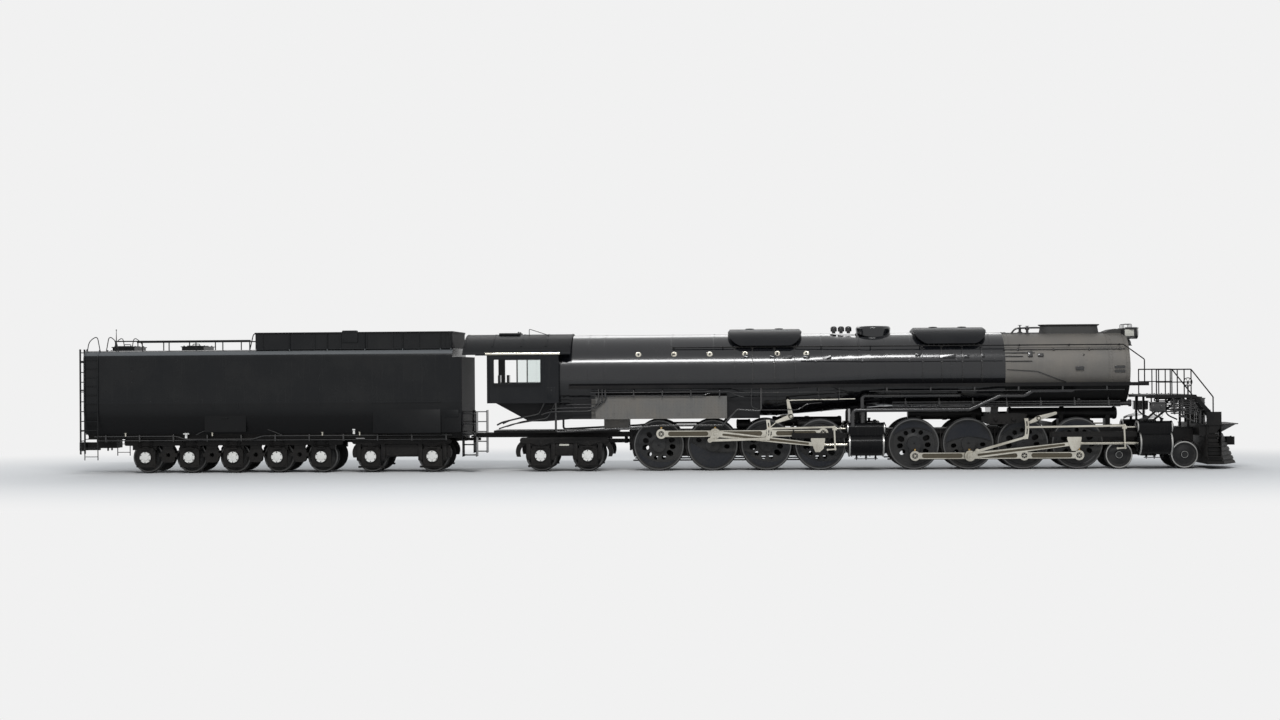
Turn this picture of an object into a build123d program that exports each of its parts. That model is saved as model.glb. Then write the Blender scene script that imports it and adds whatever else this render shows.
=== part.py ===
from build123d import *
from math import acos, asin, cos, degrees, hypot, radians, sin, sqrt
import os

# An articulated steam locomotive with two coupled engine units under one boiler,
# and its own tender, drawn with the full-size machine's measures in millimetres.
# +X is forward, +Z is up and Y runs across, with the right side at minus Y.
# The origin lies on the floor under the middle of the whole machine.

# The full-size machine is over 40 m long, so every solid is written at half size.
model_ratio = 0.5

# Fits
running_gap = 0.8
seat_gap = 0.6

# Wheels and their places across the machine
flange_depth = 28.0
flange_width = 32.0
rail_top_z = flange_depth
driver_tread_radius = 864.0
lead_tread_radius = 457.0
small_tread_radius = 533.0
wheel_inner_y = 680.0
tyre_width = 140.0
wheel_outer_y = wheel_inner_y + tyre_width
driver_z = rail_top_z + driver_tread_radius
lead_z = rail_top_z + lead_tread_radius
small_z = rail_top_z + small_tread_radius
driver_top_z = driver_z + driver_tread_radius + flange_depth
axle_radius = 130.0
small_axle_radius = 85.0

# Axles count from the front of each engine unit; the third is driven.
main_index = 2
driver_count = 4
driver_clearance = 70.0
driver_spacing = 2 * (driver_tread_radius + flange_depth) + driver_clearance

# Motion: cranks, rods and crossheads
crank_radius = 406.0
main_rod_length = 2 * driver_spacing - 168.0
rear_right_crank = 77.0
front_right_crank = -88.0
quartering = -90.0
crank_pin_radius = 76.0
pin_cap_radius = 98.0
main_rod_y = 1140.0
side_rod_inner_y = 955.0
side_rod_width = 90.0
side_rod_outer_y = side_rod_inner_y + side_rod_width
side_rod_depth = 215.0
side_rod_eye_radius = 170.0
main_rod_width = 60.0
main_rod_small_eye = 105.0
main_rod_big_eye = 185.0
big_end_width = 108.0
wrist_pin_radius = 52.0
crosshead_cheek = 30.0
crosshead_half = 240.0
crosshead_neck_radius = 64.0
valve_gear_y = 1226.0

# Cylinders and guides
cylinder_radius = 385.0
cylinder_cover_radius = 292.0
cylinder_cover_depth = 60.0
cylinder_back_cover = 40.0
valve_chest_radius = 205.0
valve_chest_z = driver_z + cylinder_radius + 163.0
piston_rod_radius = 50.0
guide_bottom_z = driver_z + 226.0
guide_depth = 175.0

# Places along the machine, each measured from a neighbour
rear_main_x = 2264.0
rear_first_x = rear_main_x + main_index * driver_spacing
rear_last_x = rear_first_x - (driver_count - 1) * driver_spacing
rear_cylinder_back_x = rear_main_x + main_rod_length + crank_radius + 695.0
rear_cylinder_x = (rear_cylinder_back_x, rear_cylinder_back_x + 1205.0)
articulation_x = rear_cylinder_x[0] + 995.0
front_last_x = articulation_x + 1273.0
front_main_x = front_last_x + (driver_count - 1 - main_index) * driver_spacing
front_cylinder_back_x = front_main_x + main_rod_length + crank_radius + 1727.0
front_cylinder_x = (front_cylinder_back_x, front_cylinder_back_x + 1100.0)
lead_axle_x = (front_cylinder_x[1] + 548.0, front_cylinder_x[0] - 562.0)
lead_pivot_x = sum(lead_axle_x) / 2
front_bed_x = front_cylinder_x[1] + 900.0
front_coupler_x = front_bed_x + 1533.0
trailing_pivot_x = rear_last_x - 1170.0
trailing_axle_x = (trailing_pivot_x - 1276.0, trailing_pivot_x - 2904.0)

# Engine beds
bed_inner_y = 430.0
bed_outer_y = 590.0
bed_top_z = driver_z + 523.0
bed_pedestal_z = driver_z - 332.0
bed_arch_z = driver_z + 8.0
bed_tail = 1030.0
bearer_plate_depth = 30.0
bearer_plate_z = bed_top_z + 10.0
drawbar_z = (bed_top_z - 355.0, bed_top_z - 265.0)
truck_arm_z = (bed_top_z - 455.0, bed_top_z - 325.0)
truck_pin_radius = 60.0
articulation_pin_radius = 100.0
articulation_tongue_z = (bed_top_z - 415.0, bed_top_z - 285.0)
articulation_lug_depth = 100.0
lead_centre_z = (lead_z + 275.0, bed_top_z - 510.0)

# Boiler, firebox and smokebox
boiler_top_z = 4718.0
front_course_radius = 1270.0
firebox_radius = front_course_radius + 150.0
smokebox_radius = front_course_radius - 18.0
backhead_radius = firebox_radius - 40.0
firebox_back_x = rear_last_x - 3060.0
backhead_x = firebox_back_x - 850.0
taper_back_x = rear_main_x + 2236.0
taper_front_x = articulation_x + 300.0
smokebox_back_x = front_main_x + 1220.0
smokebox_front_x = front_cylinder_x[0] - 243.0
front_course_z = boiler_top_z - front_course_radius
firebox_course_z = boiler_top_z - firebox_radius
smokebox_z = boiler_top_z - smokebox_radius - 18.0
stack_x = smokebox_front_x - 1835.0
stack_top_z = boiler_top_z + 250.0
steam_dome_x = taper_front_x - 325.0
safety_valve_x = taper_front_x - 1690.0
safety_valve_spacing = 255.0
sand_box_keel = 430.0
sand_box_shoulder = 110.0
firebox_low_z = driver_top_z + 31.0
firebox_top_z = firebox_course_z - 710.0
firebox_half_width = 1395.0

# Running boards
running_board_z = front_course_z - 478.0
running_board_depth = 45.0
running_board_outer_y = 1550.0
board_bracket_count = 13
board_bracket_spacing = 1480.0
running_board_front_x = smokebox_front_x + 543.0

# Cab
cab_front_x = backhead_x + 517.0
cab_back_x = backhead_x - 1952.0
cab_roof_back_x = cab_back_x - 848.0
cab_roof_front_x = cab_front_x + 408.0
cab_half_width = 1600.0
cab_wall = 60.0
cab_floor_z = running_board_z - 585.0
cab_roof_top_z = boiler_top_z + 50.0
cab_roof_thickness = 50.0
cab_eave_z = cab_roof_top_z - 678.0
cab_window_x = (cab_back_x + 243.0, cab_back_x + 1841.0)
cab_window_z = (cab_eave_z - 1010.0, cab_eave_z - 210.0)

# Front end
deck_x = (smokebox_front_x + 493.0, front_bed_x - 60.0)
deck_z = bed_top_z + 1073.0
deck_depth = 40.0
deck_half_width = 1300.0
deck_rail_height = 902.0
deck_post_x = (deck_x[0] + 360.0, deck_x[0] + 825.0, deck_x[0] + 1060.0, deck_x[0] + 1290.0,
               deck_x[0] + 1520.0)
stair_y = (760.0, 1240.0)
platform_z = bed_top_z + 120.0
platform_depth = 30.0
platform_front_x = front_coupler_x - 53.0
plough_z = (rail_top_z + 140.0, platform_z - 300.0)
plough_slats = 7
pump_radius = 190.0
pump_x = front_bed_x + 290.0
pump_y = 400.0

front_window_y = ((cab_half_width - 190.0, cab_half_width - 100.0),
                  (-cab_half_width + 100.0, -cab_half_width + 190.0))
front_window_z = (cab_window_z[0] + 60.0, cab_window_z[1] - 60.0)

# Outside boxes of the small wheels
journal_half_width = 335.0
journal_drop = 345.0
journal_rise = 330.0
journal_box_depth = 60.0
journal_ring_radius = 215.0
journal_cap_radius = 192.0
journal_stand_out = 124.0
truck_side_y = (900.0, 1060.0)
bed_side_y = (900.0, 1060.0)

# Tender
drawbar_pin_x = cab_back_x - 598.0
drawbar_pin_radius = 80.0
tender_front_x = drawbar_pin_x - 266.0
tender_truck_axle_x = (tender_front_x - 1113.0, tender_front_x - 3263.0)
tender_truck_pivot_x = sum(tender_truck_axle_x) / 2
tender_first_fixed_x = tender_truck_axle_x[1] - 1734.0
tender_fixed_spacing = 1545.0
tender_fixed_count = 5
tender_fixed_x = [tender_first_fixed_x - i * tender_fixed_spacing for i in range(tender_fixed_count)]
tender_back_x = tender_fixed_x[-1] - 2006.0
rear_coupler_x = tender_back_x - 734.0
tender_half_width = 1625.0
tender_corner_radius = 300.0
tender_bottom_half_width = tender_half_width - 230.0
tender_bed_half_width = tender_bottom_half_width - 65.0
tender_frame_z = small_z + 647.0
tender_bottom_z = tender_frame_z + 170.0
tender_turn_z = tender_bottom_z + 1072.0
tender_top_z = 4288.0
bunker_x = (tender_front_x - 7187.0, tender_front_x - 337.0)
bunker_half_width = tender_half_width - 145.0
bunker_top_z = tender_top_z + 590.0
bunker_board = 40.0
filler_x = (tender_back_x + 1069.0, tender_back_x + 3539.0)
tool_box_x = (tender_front_x - 8947.0, tender_front_x - 7507.0)
coupler_z = 920.0
coupler_half_height = 140.0


# Shape helpers

def box(x0, x1, y0, y1, z0, z1):
    block = Box(x1 - x0, y1 - y0, z1 - z0, align=(Align.MIN, Align.MIN, Align.MIN))
    return Pos(x0, y0, z0) * block


def bar_x(y, z, radius, x0, x1):
    return extrude(Plane.YZ.offset(x0) * Pos(y, z) * Circle(radius), amount=x1 - x0)


def bar_y(x, z, radius, y0, y1):
    return extrude(Plane.XZ.offset(-y0) * Pos(x, z) * Circle(radius), amount=y1 - y0, dir=(0, 1, 0))


def bar_z(x, y, radius, z0, z1):
    return extrude(Plane.XY.offset(z0) * Pos(x, y) * Circle(radius), amount=z1 - z0)


def side_plate(sketch, y0, y1):
    # A sketch drawn in X and Z, thickened from y0 to y1.
    return extrude(Plane.XZ.offset(-y0) * sketch, amount=y1 - y0, dir=(0, 1, 0))


def cross_plate(sketch, x0, x1):
    # A sketch drawn in Y and Z, thickened from x0 to x1.
    return extrude(Plane.YZ.offset(x0) * sketch, amount=x1 - x0)


def flat_plate(sketch, z0, z1):
    # A sketch drawn in X and Y, thickened from z0 to z1.
    return extrude(Plane.XY.offset(z0) * sketch, amount=z1 - z0)


def outline(*points):
    return make_face(Polyline(*points, close=True))


def lathe_y(*points):
    # Points are places along Y and radii about the Y axis.
    return revolve(Plane.YZ * outline(*points), axis=Axis.Y)


def both_sides(shape):
    return [shape, mirror(shape, about=Plane.XZ)]


def fuse(shapes):
    shapes = list(shapes)
    whole = shapes[0]
    if len(shapes) > 1:
        whole = whole + shapes[1:]
    return whole


def write_node(name, *shapes):
    solids = [solid for shape in shapes for solid in shape.solids()]
    scaled = [solid.scale(model_ratio, about=(0, 0, 0)) for solid in solids]
    export_step(Compound(children=scaled), f"parts/{name}.step")


# Places that several pieces share

def driver_places(main_x):
    return [main_x + (main_index - i) * driver_spacing for i in range(driver_count)]


rear_driver_x = driver_places(rear_main_x)
front_driver_x = driver_places(front_main_x)


def crank_pin(main_x, angle):
    return (main_x + crank_radius * cos(radians(angle)), driver_z + crank_radius * sin(radians(angle)))


def wrist_pin_x(main_x, angle):
    pin_x, pin_z = crank_pin(main_x, angle)
    return pin_x + sqrt(main_rod_length**2 - (pin_z - driver_z) ** 2)


# Wheels

wheel_web_y = (712.0, 800.0)
driver_rim_depth = 95.0
driver_hub_radius = 235.0
driver_hub_outer_y = 900.0
pin_boss_radius = 165.0
pin_boss_outer_y = 940.0
weight_outer_y = 845.0

# The openings in a coupled driver's web, on each side of the crank.
web_holes = (
    # angle from the crank, distance from the axle, radial length, width
    (56, 480, 215, 165),
    (84, 475, 205, 175),
    (113, 470, 245, 185),
    (146, 455, 165, 150),
    (180, 452, 150, 150),
)
main_web_holes = (
    (84, 500, 190, 150),
    (58, 500, 190, 150),
)
# The counterweight is the crescent between the rim and a circle off centre.
coupled_weight = (591.0, 1151.0)
main_weight = (1651.0, 1881.0)


def tyre(tread_radius, rim_depth):
    # Rolling face, flange on the inner side and the rim under them.
    flange_radius = tread_radius + flange_depth
    flange_y = wheel_inner_y + flange_width
    return lathe_y(
        (wheel_inner_y, tread_radius - rim_depth),
        (wheel_outer_y, tread_radius - rim_depth),
        (wheel_outer_y, tread_radius),
        (flange_y + 8, tread_radius),
        (flange_y - 10, flange_radius),
        (wheel_inner_y + 8, flange_radius),
        (wheel_inner_y, flange_radius - 12),
    )


def web_opening(angle, place, length, width):
    hole = Pos(place, 0) * SlotOverall(length, width)
    return Rot(0, 0, angle) * hole


def driver_wheel(is_main):
    # The +Y wheel about the origin, with its crank pin towards +X.
    wheel = tyre(driver_tread_radius, driver_rim_depth)
    inner_y, outer_y = wheel_web_y
    web_radius = driver_tread_radius - driver_rim_depth + 1
    bead = web_radius - 34
    web = lathe_y(
        (inner_y, 0), (outer_y + 30, 0), (outer_y + 30, driver_hub_radius + 40),
        (outer_y, driver_hub_radius + 130),
        (outer_y, bead - 30), (outer_y + 16, bead), (outer_y + 16, web_radius), (inner_y, web_radius),
    )
    table = main_web_holes if is_main else web_holes
    holes = [web_opening(angle, *row) for angle, *row in table]
    holes += [web_opening(-angle, *row) for angle, *row in table if angle < 180]
    web -= side_plate(fuse(holes), inner_y - 1, outer_y + 40)
    hub = bar_y(0, 0, driver_hub_radius, wheel_inner_y, driver_hub_outer_y)
    hub -= bar_y(0, 0, axle_radius * 0.35, driver_hub_outer_y - 40, driver_hub_outer_y + 1)
    boss = bar_y(crank_radius, 0, pin_boss_radius, inner_y, pin_boss_outer_y)
    arm = outline(
        (0, driver_hub_radius - 25), (crank_radius, pin_boss_radius - 15),
        (crank_radius, 15 - pin_boss_radius), (0, 25 - driver_hub_radius),
    )
    arm = side_plate(arm, inner_y, driver_hub_outer_y - 15)
    offset, cut_radius = main_weight if is_main else coupled_weight
    crescent = Circle(web_radius - 0.5) - Pos(offset, 0) * Circle(cut_radius)
    weight = side_plate(crescent, inner_y, weight_outer_y)
    pin = bar_y(crank_radius, 0, crank_pin_radius, pin_boss_outer_y - 5, side_rod_outer_y + running_gap)
    cap = bar_y(crank_radius, 0, pin_cap_radius, side_rod_outer_y + running_gap, side_rod_outer_y + 13)
    return fuse([wheel, web, hub, boss, arm, weight, pin, cap])


def driver_axle(wheel, x, right_angle):
    # The wheel is drawn on the +Y side, so the right-hand one is its mirror image.
    left = Rot(0, -(right_angle + quartering), 0) * wheel
    right = mirror(Rot(0, -right_angle, 0) * wheel, about=Plane.XZ)
    shaft = bar_y(0, 0, axle_radius, -wheel_inner_y - 5, wheel_inner_y + 5)
    return Pos(x, 0, driver_z) * fuse([left, right, shaft])


def plain_axle(x, z, tread_radius, cap_y):
    # Dished disc wheels; an axle in outside boxes runs on to a round cap at cap_y.
    wheel = tyre(tread_radius, 70)
    rim = tread_radius - 69
    disc = lathe_y(
        (700, 0), (842, 0), (842, 118), (800, 150), (762, rim - 60), (772, rim), (728, rim), (722, rim - 60),
        (715, 160), (700, 150),
    )
    shaft = bar_y(0, 0, small_axle_radius, -wheel_inner_y - 25, wheel_inner_y + 25)
    if cap_y:
        shaft = bar_y(0, 0, small_axle_radius, -cap_y + 30, cap_y - 30)
        cap = lathe_y(
            (cap_y - 40, 0), (cap_y, 0), (cap_y, journal_cap_radius - 40), (cap_y - 14, journal_cap_radius),
            (cap_y - 40, journal_cap_radius),
        )
        wheel = wheel + cap
    return Pos(x, 0, z) * fuse(both_sides(wheel + disc) + [shaft])


# Rods and crossheads

def side_rod(driver_x, angle, side):
    # Four eyes on the crank pins, joined by fluted bars.
    pins = [crank_pin(x, angle) for x in driver_x]
    eyes = [Pos(x, z) * Circle(side_rod_eye_radius) for x, z in pins]
    first, last = pins[-1], pins[0]
    middle_x = (first[0] + last[0]) / 2
    bar = Pos(middle_x, first[1]) * Rectangle(last[0] - first[0], side_rod_depth)
    holes = [Pos(x, z) * Circle(crank_pin_radius + running_gap) for x, z in pins]
    body = fuse(eyes + [bar]) - holes
    y0 = side_rod_inner_y if side > 0 else -side_rod_outer_y
    rod = side_plate(body, y0, y0 + side_rod_width)
    flute_length = driver_spacing - 2 * side_rod_eye_radius - 130
    flutes = []
    for x, z in pins[1:]:
        flute = Pos(x + driver_spacing / 2, z) * SlotOverall(flute_length, side_rod_depth - 60)
        outer = side_rod_outer_y * side
        flutes.append(side_plate(flute, min(outer, outer - 22 * side), max(outer, outer - 22 * side)))
    return rod - flutes


def main_rod(main_x, angle, side):
    # From the wrist pin in the crosshead back to the crank pin's big end.
    pin_z = crank_pin(main_x, angle)[1]
    wrist_x = wrist_pin_x(main_x, angle)
    lean = degrees(asin((pin_z - driver_z) / main_rod_length))
    length = main_rod_length
    shank = outline((0, 62), (0, -62), (-length, -105), (-length, 105))
    rod_sketch = fuse([shank, Circle(main_rod_small_eye), Pos(-length, 0) * Circle(main_rod_big_eye)])
    rod_sketch -= Circle(wrist_pin_radius + running_gap)
    half = main_rod_width / 2
    rod = side_plate(rod_sketch, main_rod_y - half, main_rod_y + half)
    big_half = big_end_width / 2
    rod += bar_y(-length, 0, main_rod_big_eye - 12, main_rod_y - big_half, main_rod_y + big_half)
    flute = Pos(-length / 2 - 30, 0) * SlotOverall(length - 560, 78)
    rod -= side_plate(flute, main_rod_y + half - 14, main_rod_y + half)
    rod = Pos(wrist_x, 0, driver_z) * Rot(0, lean, 0) * rod
    return rod if side > 0 else mirror(rod, about=Plane.XZ)


def crosshead(main_x, angle, rod_reach, side):
    # Two cheeks with the wrist pin, slippers round the guide and the piston rod.
    x = wrist_pin_x(main_x, angle)
    small_half = main_rod_width / 2
    inner = (main_rod_y - small_half - 5 - crosshead_cheek, main_rod_y - small_half - 5)
    outer = (main_rod_y + small_half + 5, main_rod_y + small_half + 5 + crosshead_cheek)
    shoe_z = guide_bottom_z - running_gap
    cheek = outline(
        (x - crosshead_half, shoe_z), (x + crosshead_half, shoe_z), (x + crosshead_half, shoe_z - 70),
        (x + 190, driver_z - 130), (x + 60, driver_z - 250), (x - 90, driver_z - 250),
        (x - 150, driver_z - 120), (x - crosshead_half, shoe_z - 70),
    )
    shoe = box(x - crosshead_half, x + crosshead_half, inner[0], outer[1], shoe_z - 55, shoe_z)
    neck = bar_x(main_rod_y, driver_z, crosshead_neck_radius, x + 120, x + 260)
    stem = bar_x(main_rod_y, driver_z, piston_rod_radius, x + 120, x + rod_reach)
    pin = bar_y(x, driver_z, wrist_pin_radius, inner[0], outer[1])
    whole = fuse([side_plate(cheek, *inner), side_plate(cheek, *outer), shoe, neck, stem, pin])
    return whole if side > 0 else mirror(whole, about=Plane.XZ)


# Cylinders with their guides

def cylinder_casting(x0, x1, saddle_top_z):
    # The barrel under its valve chest, on an arm that reaches in to the bed.
    barrel = bar_x(main_rod_y, driver_z, cylinder_radius, x0, x1)
    chest = bar_x(main_rod_y, valve_chest_z, valve_chest_radius, x0 - 40, x1 + 40)
    web = box(x0 + 20, x1 - 20, main_rod_y - valve_chest_radius, main_rod_y + valve_chest_radius,
              driver_z, valve_chest_z)
    arm = box(x0 + 120, x1 - 120, bed_outer_y, main_rod_y, driver_z + 60, saddle_top_z)
    cover_reach = 75
    covers = [
        cylinder_cover(x1, driver_z, cylinder_cover_radius, cylinder_cover_depth),
        bar_x(main_rod_y, driver_z, cylinder_cover_radius, x0 - cylinder_back_cover, x0),
        bar_x(main_rod_y, valve_chest_z, valve_chest_radius - 60, x1 + 40, x1 + cover_reach),
        bar_x(main_rod_y, valve_chest_z, valve_chest_radius - 60, x0 - cover_reach, x0 - 40),
    ]
    collars = []
    for x in (x0, x1 - 55):
        collars.append(bar_x(main_rod_y, driver_z, cylinder_radius + 16, x, x + 55))
    half = fuse([barrel, chest, web, arm] + covers + collars)
    # The piston rod slides in a long bore that starts at the rear cover.
    half -= bar_x(main_rod_y, driver_z, piston_rod_radius + running_gap, x0 - 50, x1 - 60)
    return both_sides(half)


def cylinder_cover(x, z, radius, depth):
    # A dished cover with a raised rim and a round boss in the middle.
    section = outline(
        (x - 1, 0), (x + depth, 0), (x + depth, 95), (x + depth - 24, 115), (x + depth - 30, radius - 60),
        (x + depth - 12, radius - 45), (x + depth - 12, radius - 8), (x + depth - 20, radius),
        (x - 1, radius),
    )
    return Pos(0, main_rod_y, z) * revolve(Plane.XY * section, axis=Axis.X)


def guides(main_x, cylinder_back_x):
    # One deep bar over each crosshead, carried at the cylinder and by the yoke.
    yoke_x = main_x + (main_index - 0.5) * driver_spacing
    y0 = main_rod_y - main_rod_width / 2 - 5 - crosshead_cheek
    y1 = main_rod_y + main_rod_width / 2 + 5 + crosshead_cheek
    front_x = cylinder_back_x - cylinder_back_cover - seat_gap
    bar = box(yoke_x - 60, front_x, y0 + 20, y1 - 20, guide_bottom_z, guide_bottom_z + guide_depth)
    return both_sides(bar) + [yoke(main_x)]


def yoke(main_x):
    # A plate across the engine that passes over the side rods.
    yoke_x = main_x + (main_index - 0.5) * driver_spacing
    over_rods_z = driver_z + crank_radius + side_rod_eye_radius + 25
    y1 = main_rod_y + main_rod_width / 2 + 5 + crosshead_cheek
    arch = outline(
        (-y1, guide_bottom_z + 20), (-y1, over_rods_z + 130), (y1, over_rods_z + 130),
        (y1, guide_bottom_z + 20),
        (y1 - 120, guide_bottom_z + 20), (y1 - 120, over_rods_z), (bed_outer_y, over_rods_z),
        (bed_outer_y, bed_top_z), (-bed_outer_y, bed_top_z), (-bed_outer_y, over_rods_z),
        (-y1 + 120, over_rods_z), (-y1 + 120, guide_bottom_z + 20),
    )
    return cross_plate(arch, yoke_x - 18, yoke_x + 18)

# Valve gear, held still on the engine beds in the plane outside the main rods

def valve_gear(main_x, angle, cylinder_back_x, side):
    # Eccentric crank, eccentric rod, link, radius rod, combination lever and union link.
    y0 = valve_gear_y
    pin_x, pin_z = crank_pin(main_x, angle)
    link_x = main_x + 1926
    link_z = 1440
    crank_x = pin_x - 285 * cos(radians(angle - 128))
    crank_z = pin_z + 285 * sin(radians(angle - 128))
    lever_x = cylinder_back_x - 480
    crank = plate_link((pin_x, pin_z), (crank_x, crank_z), 110, 80, y0, y0 + 58)
    rod = plate_link((crank_x, crank_z), (link_x - 90, link_z - 330), 72, 58, y0 + 66, y0 + 106)
    pins = [
        bar_y(crank_x, crank_z, 42, y0 + 50, y0 + 112),
        bar_y(link_x - 90, link_z - 330, 36, y0 + 40, y0 + 112),
    ]
    link = side_plate(expansion_link(link_x, link_z), y0, y0 + 60)
    radius = plate_link((link_x + 20, link_z + 20), (lever_x, valve_chest_z + 60), 50, 48, y0 + 66, y0 + 100)
    trunnion = bar_y(link_x + 20, link_z + 20, 38, y0 + 50, y0 + 108)
    lever = plate_link((lever_x, valve_chest_z + 60), (lever_x + 30, driver_z - 150), 46, 40, y0, y0 + 45)
    top_pin = bar_y(lever_x, valve_chest_z + 60, 30, y0 + 35, y0 + 106)
    union = plate_link((lever_x + 30, driver_z - 150), (lever_x - 230, driver_z - 165), 36, 36,
                       y0 + 50, y0 + 80)
    low_pin = bar_y(lever_x + 30, driver_z - 150, 26, y0 + 35, y0 + 84)
    stem_z = valve_chest_z
    guide_block = box(lever_x - 60, lever_x + 90, main_rod_y - 60, y0 + 30, stem_z - 55, stem_z + 45)
    stem = bar_x(main_rod_y, stem_z, 30, lever_x + 60, cylinder_back_x - 75)
    whole = fuse([crank, rod, link, radius, trunnion, lever, top_pin, union, low_pin, guide_block,
                  stem] + pins)
    return whole if side > 0 else mirror(whole, about=Plane.XZ)


def expansion_link(x, z):
    # A curved slot link, taller than wide, centred on its trunnion.
    outer = Pos(x - 1500, z) * Circle(1570) - Pos(x - 1500, z) * Circle(1440)
    band = outer & (Pos(x, z - 30) * Rectangle(400, 700))
    slot = Pos(x - 1500, z) * Circle(1525) - Pos(x - 1500, z) * Circle(1485)
    return band - (slot & (Pos(x, z) * Rectangle(300, 440)))


def plate_link(start, end, start_radius, end_radius, y0, y1):
    # A flat link with round ends of two sizes, tapering between them.
    length = hypot(end[0] - start[0], end[1] - start[1])
    lean = degrees(acos((end[0] - start[0]) / length))
    lean = lean if end[1] > start[1] else -lean
    neck_start = start_radius * 0.62
    neck_end = end_radius * 0.62
    bar = outline((0, neck_start), (0, -neck_start), (length, -neck_end), (length, neck_end))
    sketch = fuse([bar, Circle(start_radius), Pos(length, 0) * Circle(end_radius)])
    return side_plate(Pos(*start) * Rot(0, 0, lean) * sketch, y0, y1)


# Engine beds

def engine_bed(places, back_x, front_x):
    # Two deep plates with a pedestal and box round each axle, joined by stretchers.
    middle_x = (back_x + front_x) / 2
    top = Pos(middle_x, (bed_arch_z + bed_top_z) / 2) * Rectangle(front_x - back_x, bed_top_z - bed_arch_z)
    leg_top_z = bed_arch_z + 50
    pedestals = [Pos(x, (bed_pedestal_z + leg_top_z) / 2) * Rectangle(520, leg_top_z - bed_pedestal_z)
                 for x in places]
    bores = [Pos(x, driver_z) * Circle(axle_radius + running_gap) for x in places]
    openings = [Pos(x + driver_spacing / 2, 1120) * SlotOverall(760, 240) for x in places[1:]]
    side = fuse([top] + pedestals) - bores - openings
    plates = [side_plate(side, y, y + bed_outer_y - bed_inner_y) for y in (bed_inner_y, -bed_outer_y)]
    stretchers = []
    for x in [back_x + 60] + [x + driver_spacing / 2 for x in places[1:]] + [front_x - 60]:
        stretchers.append(box(x - 50, x + 50, -bed_inner_y - 5, bed_inner_y + 5, 930, bed_top_z - 20))
    top_sheet = box(back_x, front_x, -bed_inner_y - 5, bed_inner_y + 5, bed_top_z - 40, bed_top_z)
    return fuse(plates + stretchers + [top_sheet])


def rear_frame():
    # The rear bed, its drag box under the cab and the two pins that it hangs its neighbours on.
    back, front = rear_last_x - bed_tail, rear_cylinder_x[0] + 55
    bed = engine_bed(rear_driver_x, back, front)
    drag = box(back, back + 60, -bed_inner_y, bed_inner_y, bed_pedestal_z + 140, bed_top_z)
    tail = box(drawbar_pin_x + 50, back + 10, -300, 300, bed_top_z - 245, bed_top_z - 85)
    cradle = box(cab_back_x + 102, back - 380, -620, 620, bed_top_z - 85, bed_top_z)
    pocket = box(drawbar_pin_x - 150, cab_back_x + 102, -220, 220, bed_top_z - 245, bed_top_z - 190)
    pin = bar_z(drawbar_pin_x, 0, drawbar_pin_radius, drawbar_z[0], bed_top_z - 215)
    truck_pin = bar_z(trailing_pivot_x, 0, truck_pin_radius, truck_arm_z[0] - 20, bed_top_z - 235)
    return fuse([bed, drag, tail, cradle, pocket, pin, truck_pin])


def front_frame():
    bed = engine_bed(front_driver_x, articulation_x + 430, front_bed_x)
    low, high = articulation_tongue_z
    tongue = box(articulation_x, articulation_x + 500, -150, 150, low, high)
    ring = bar_z(articulation_x, 0, 260, low, high)
    hole = bar_z(articulation_x, 0, articulation_pin_radius + running_gap, low - 10, high + 10)
    bearer_x = front_main_x + driver_spacing / 2
    bearer_top = bearer_plate_z + bearer_plate_depth
    bearer = box(bearer_x - 200, bearer_x + 200, -720, 720, bearer_plate_z, bearer_top)
    post = box(bearer_x - 150, bearer_x + 150, -400, 400, bed_top_z - 5, bearer_plate_z + 5)
    centre = bar_z(lead_pivot_x, 0, 150, lead_centre_z[0], lead_centre_z[1])
    bolster_low = lead_centre_z[1] - 5
    bolster = box(lead_pivot_x - 220, lead_pivot_x + 220, -bed_inner_y - 5, bed_inner_y + 5, bolster_low,
                  bolster_low + 100)
    return fuse([bed, tongue, ring, bearer, post, bolster, centre]) - hole


def boiler_bearer():
    # The boiler's front foot, which slides on the front engine's bearer as that swings.
    x = front_main_x + driver_spacing / 2
    foot_z = bearer_plate_z + bearer_plate_depth + seat_gap
    saddle_z = boiler_top_z - 2 * front_course_radius + 160
    foot = box(x - 150, x + 150, -330, 330, foot_z, foot_z + 60)
    web = outline((-330, foot_z + 59), (330, foot_z + 59), (820, saddle_z), (-820, saddle_z))
    saddle = cross_plate(web, x - 130, x + 130)
    return fuse([foot, saddle]) - boiler_room()


def rear_cylinders():
    # Both cylinders on one casting, with the boiler saddle and the lugs of the articulation.
    x0, x1 = rear_cylinder_x
    half = bed_outer_y + 20
    halves = cylinder_casting(x0, x1, bed_top_z + 145)
    saddle = box(x0 + 120, x0 + 700, -half, half, bed_top_z + 2, bed_top_z + 285)
    pad_top = boiler_top_z - 2 * front_course_radius + 62
    pad = box(x0 + 120, x0 + 700, -500, 500, bed_top_z + 280, pad_top)
    block = box(x0 + 60, x0 + 720, -half, half, driver_z - 132, bed_top_z + 145)
    low, high = articulation_tongue_z
    depth = articulation_lug_depth
    lug_z = (low - running_gap - depth, high + running_gap)
    lugs = [box(x0 + 600, articulation_x, -150, 150, z, z + depth) for z in lug_z]
    rings = [bar_z(articulation_x, 0, 210, z, z + depth) for z in lug_z]
    pin = bar_z(articulation_x, 0, articulation_pin_radius, lug_z[0], lug_z[1] + depth)
    whole = fuse(halves + [saddle, pad, block] + lugs + rings + [pin])
    return whole - boiler_room()


def boiler_room():
    # The outside of the boiler with the seat gap round it, for pieces that fit against it.
    return fuse(boiler_solids(seat_gap))


def round_at(x, radius, grow):
    return Plane.YZ.offset(x) * Pos(0, boiler_top_z - radius) * Circle(radius + grow)


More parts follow.
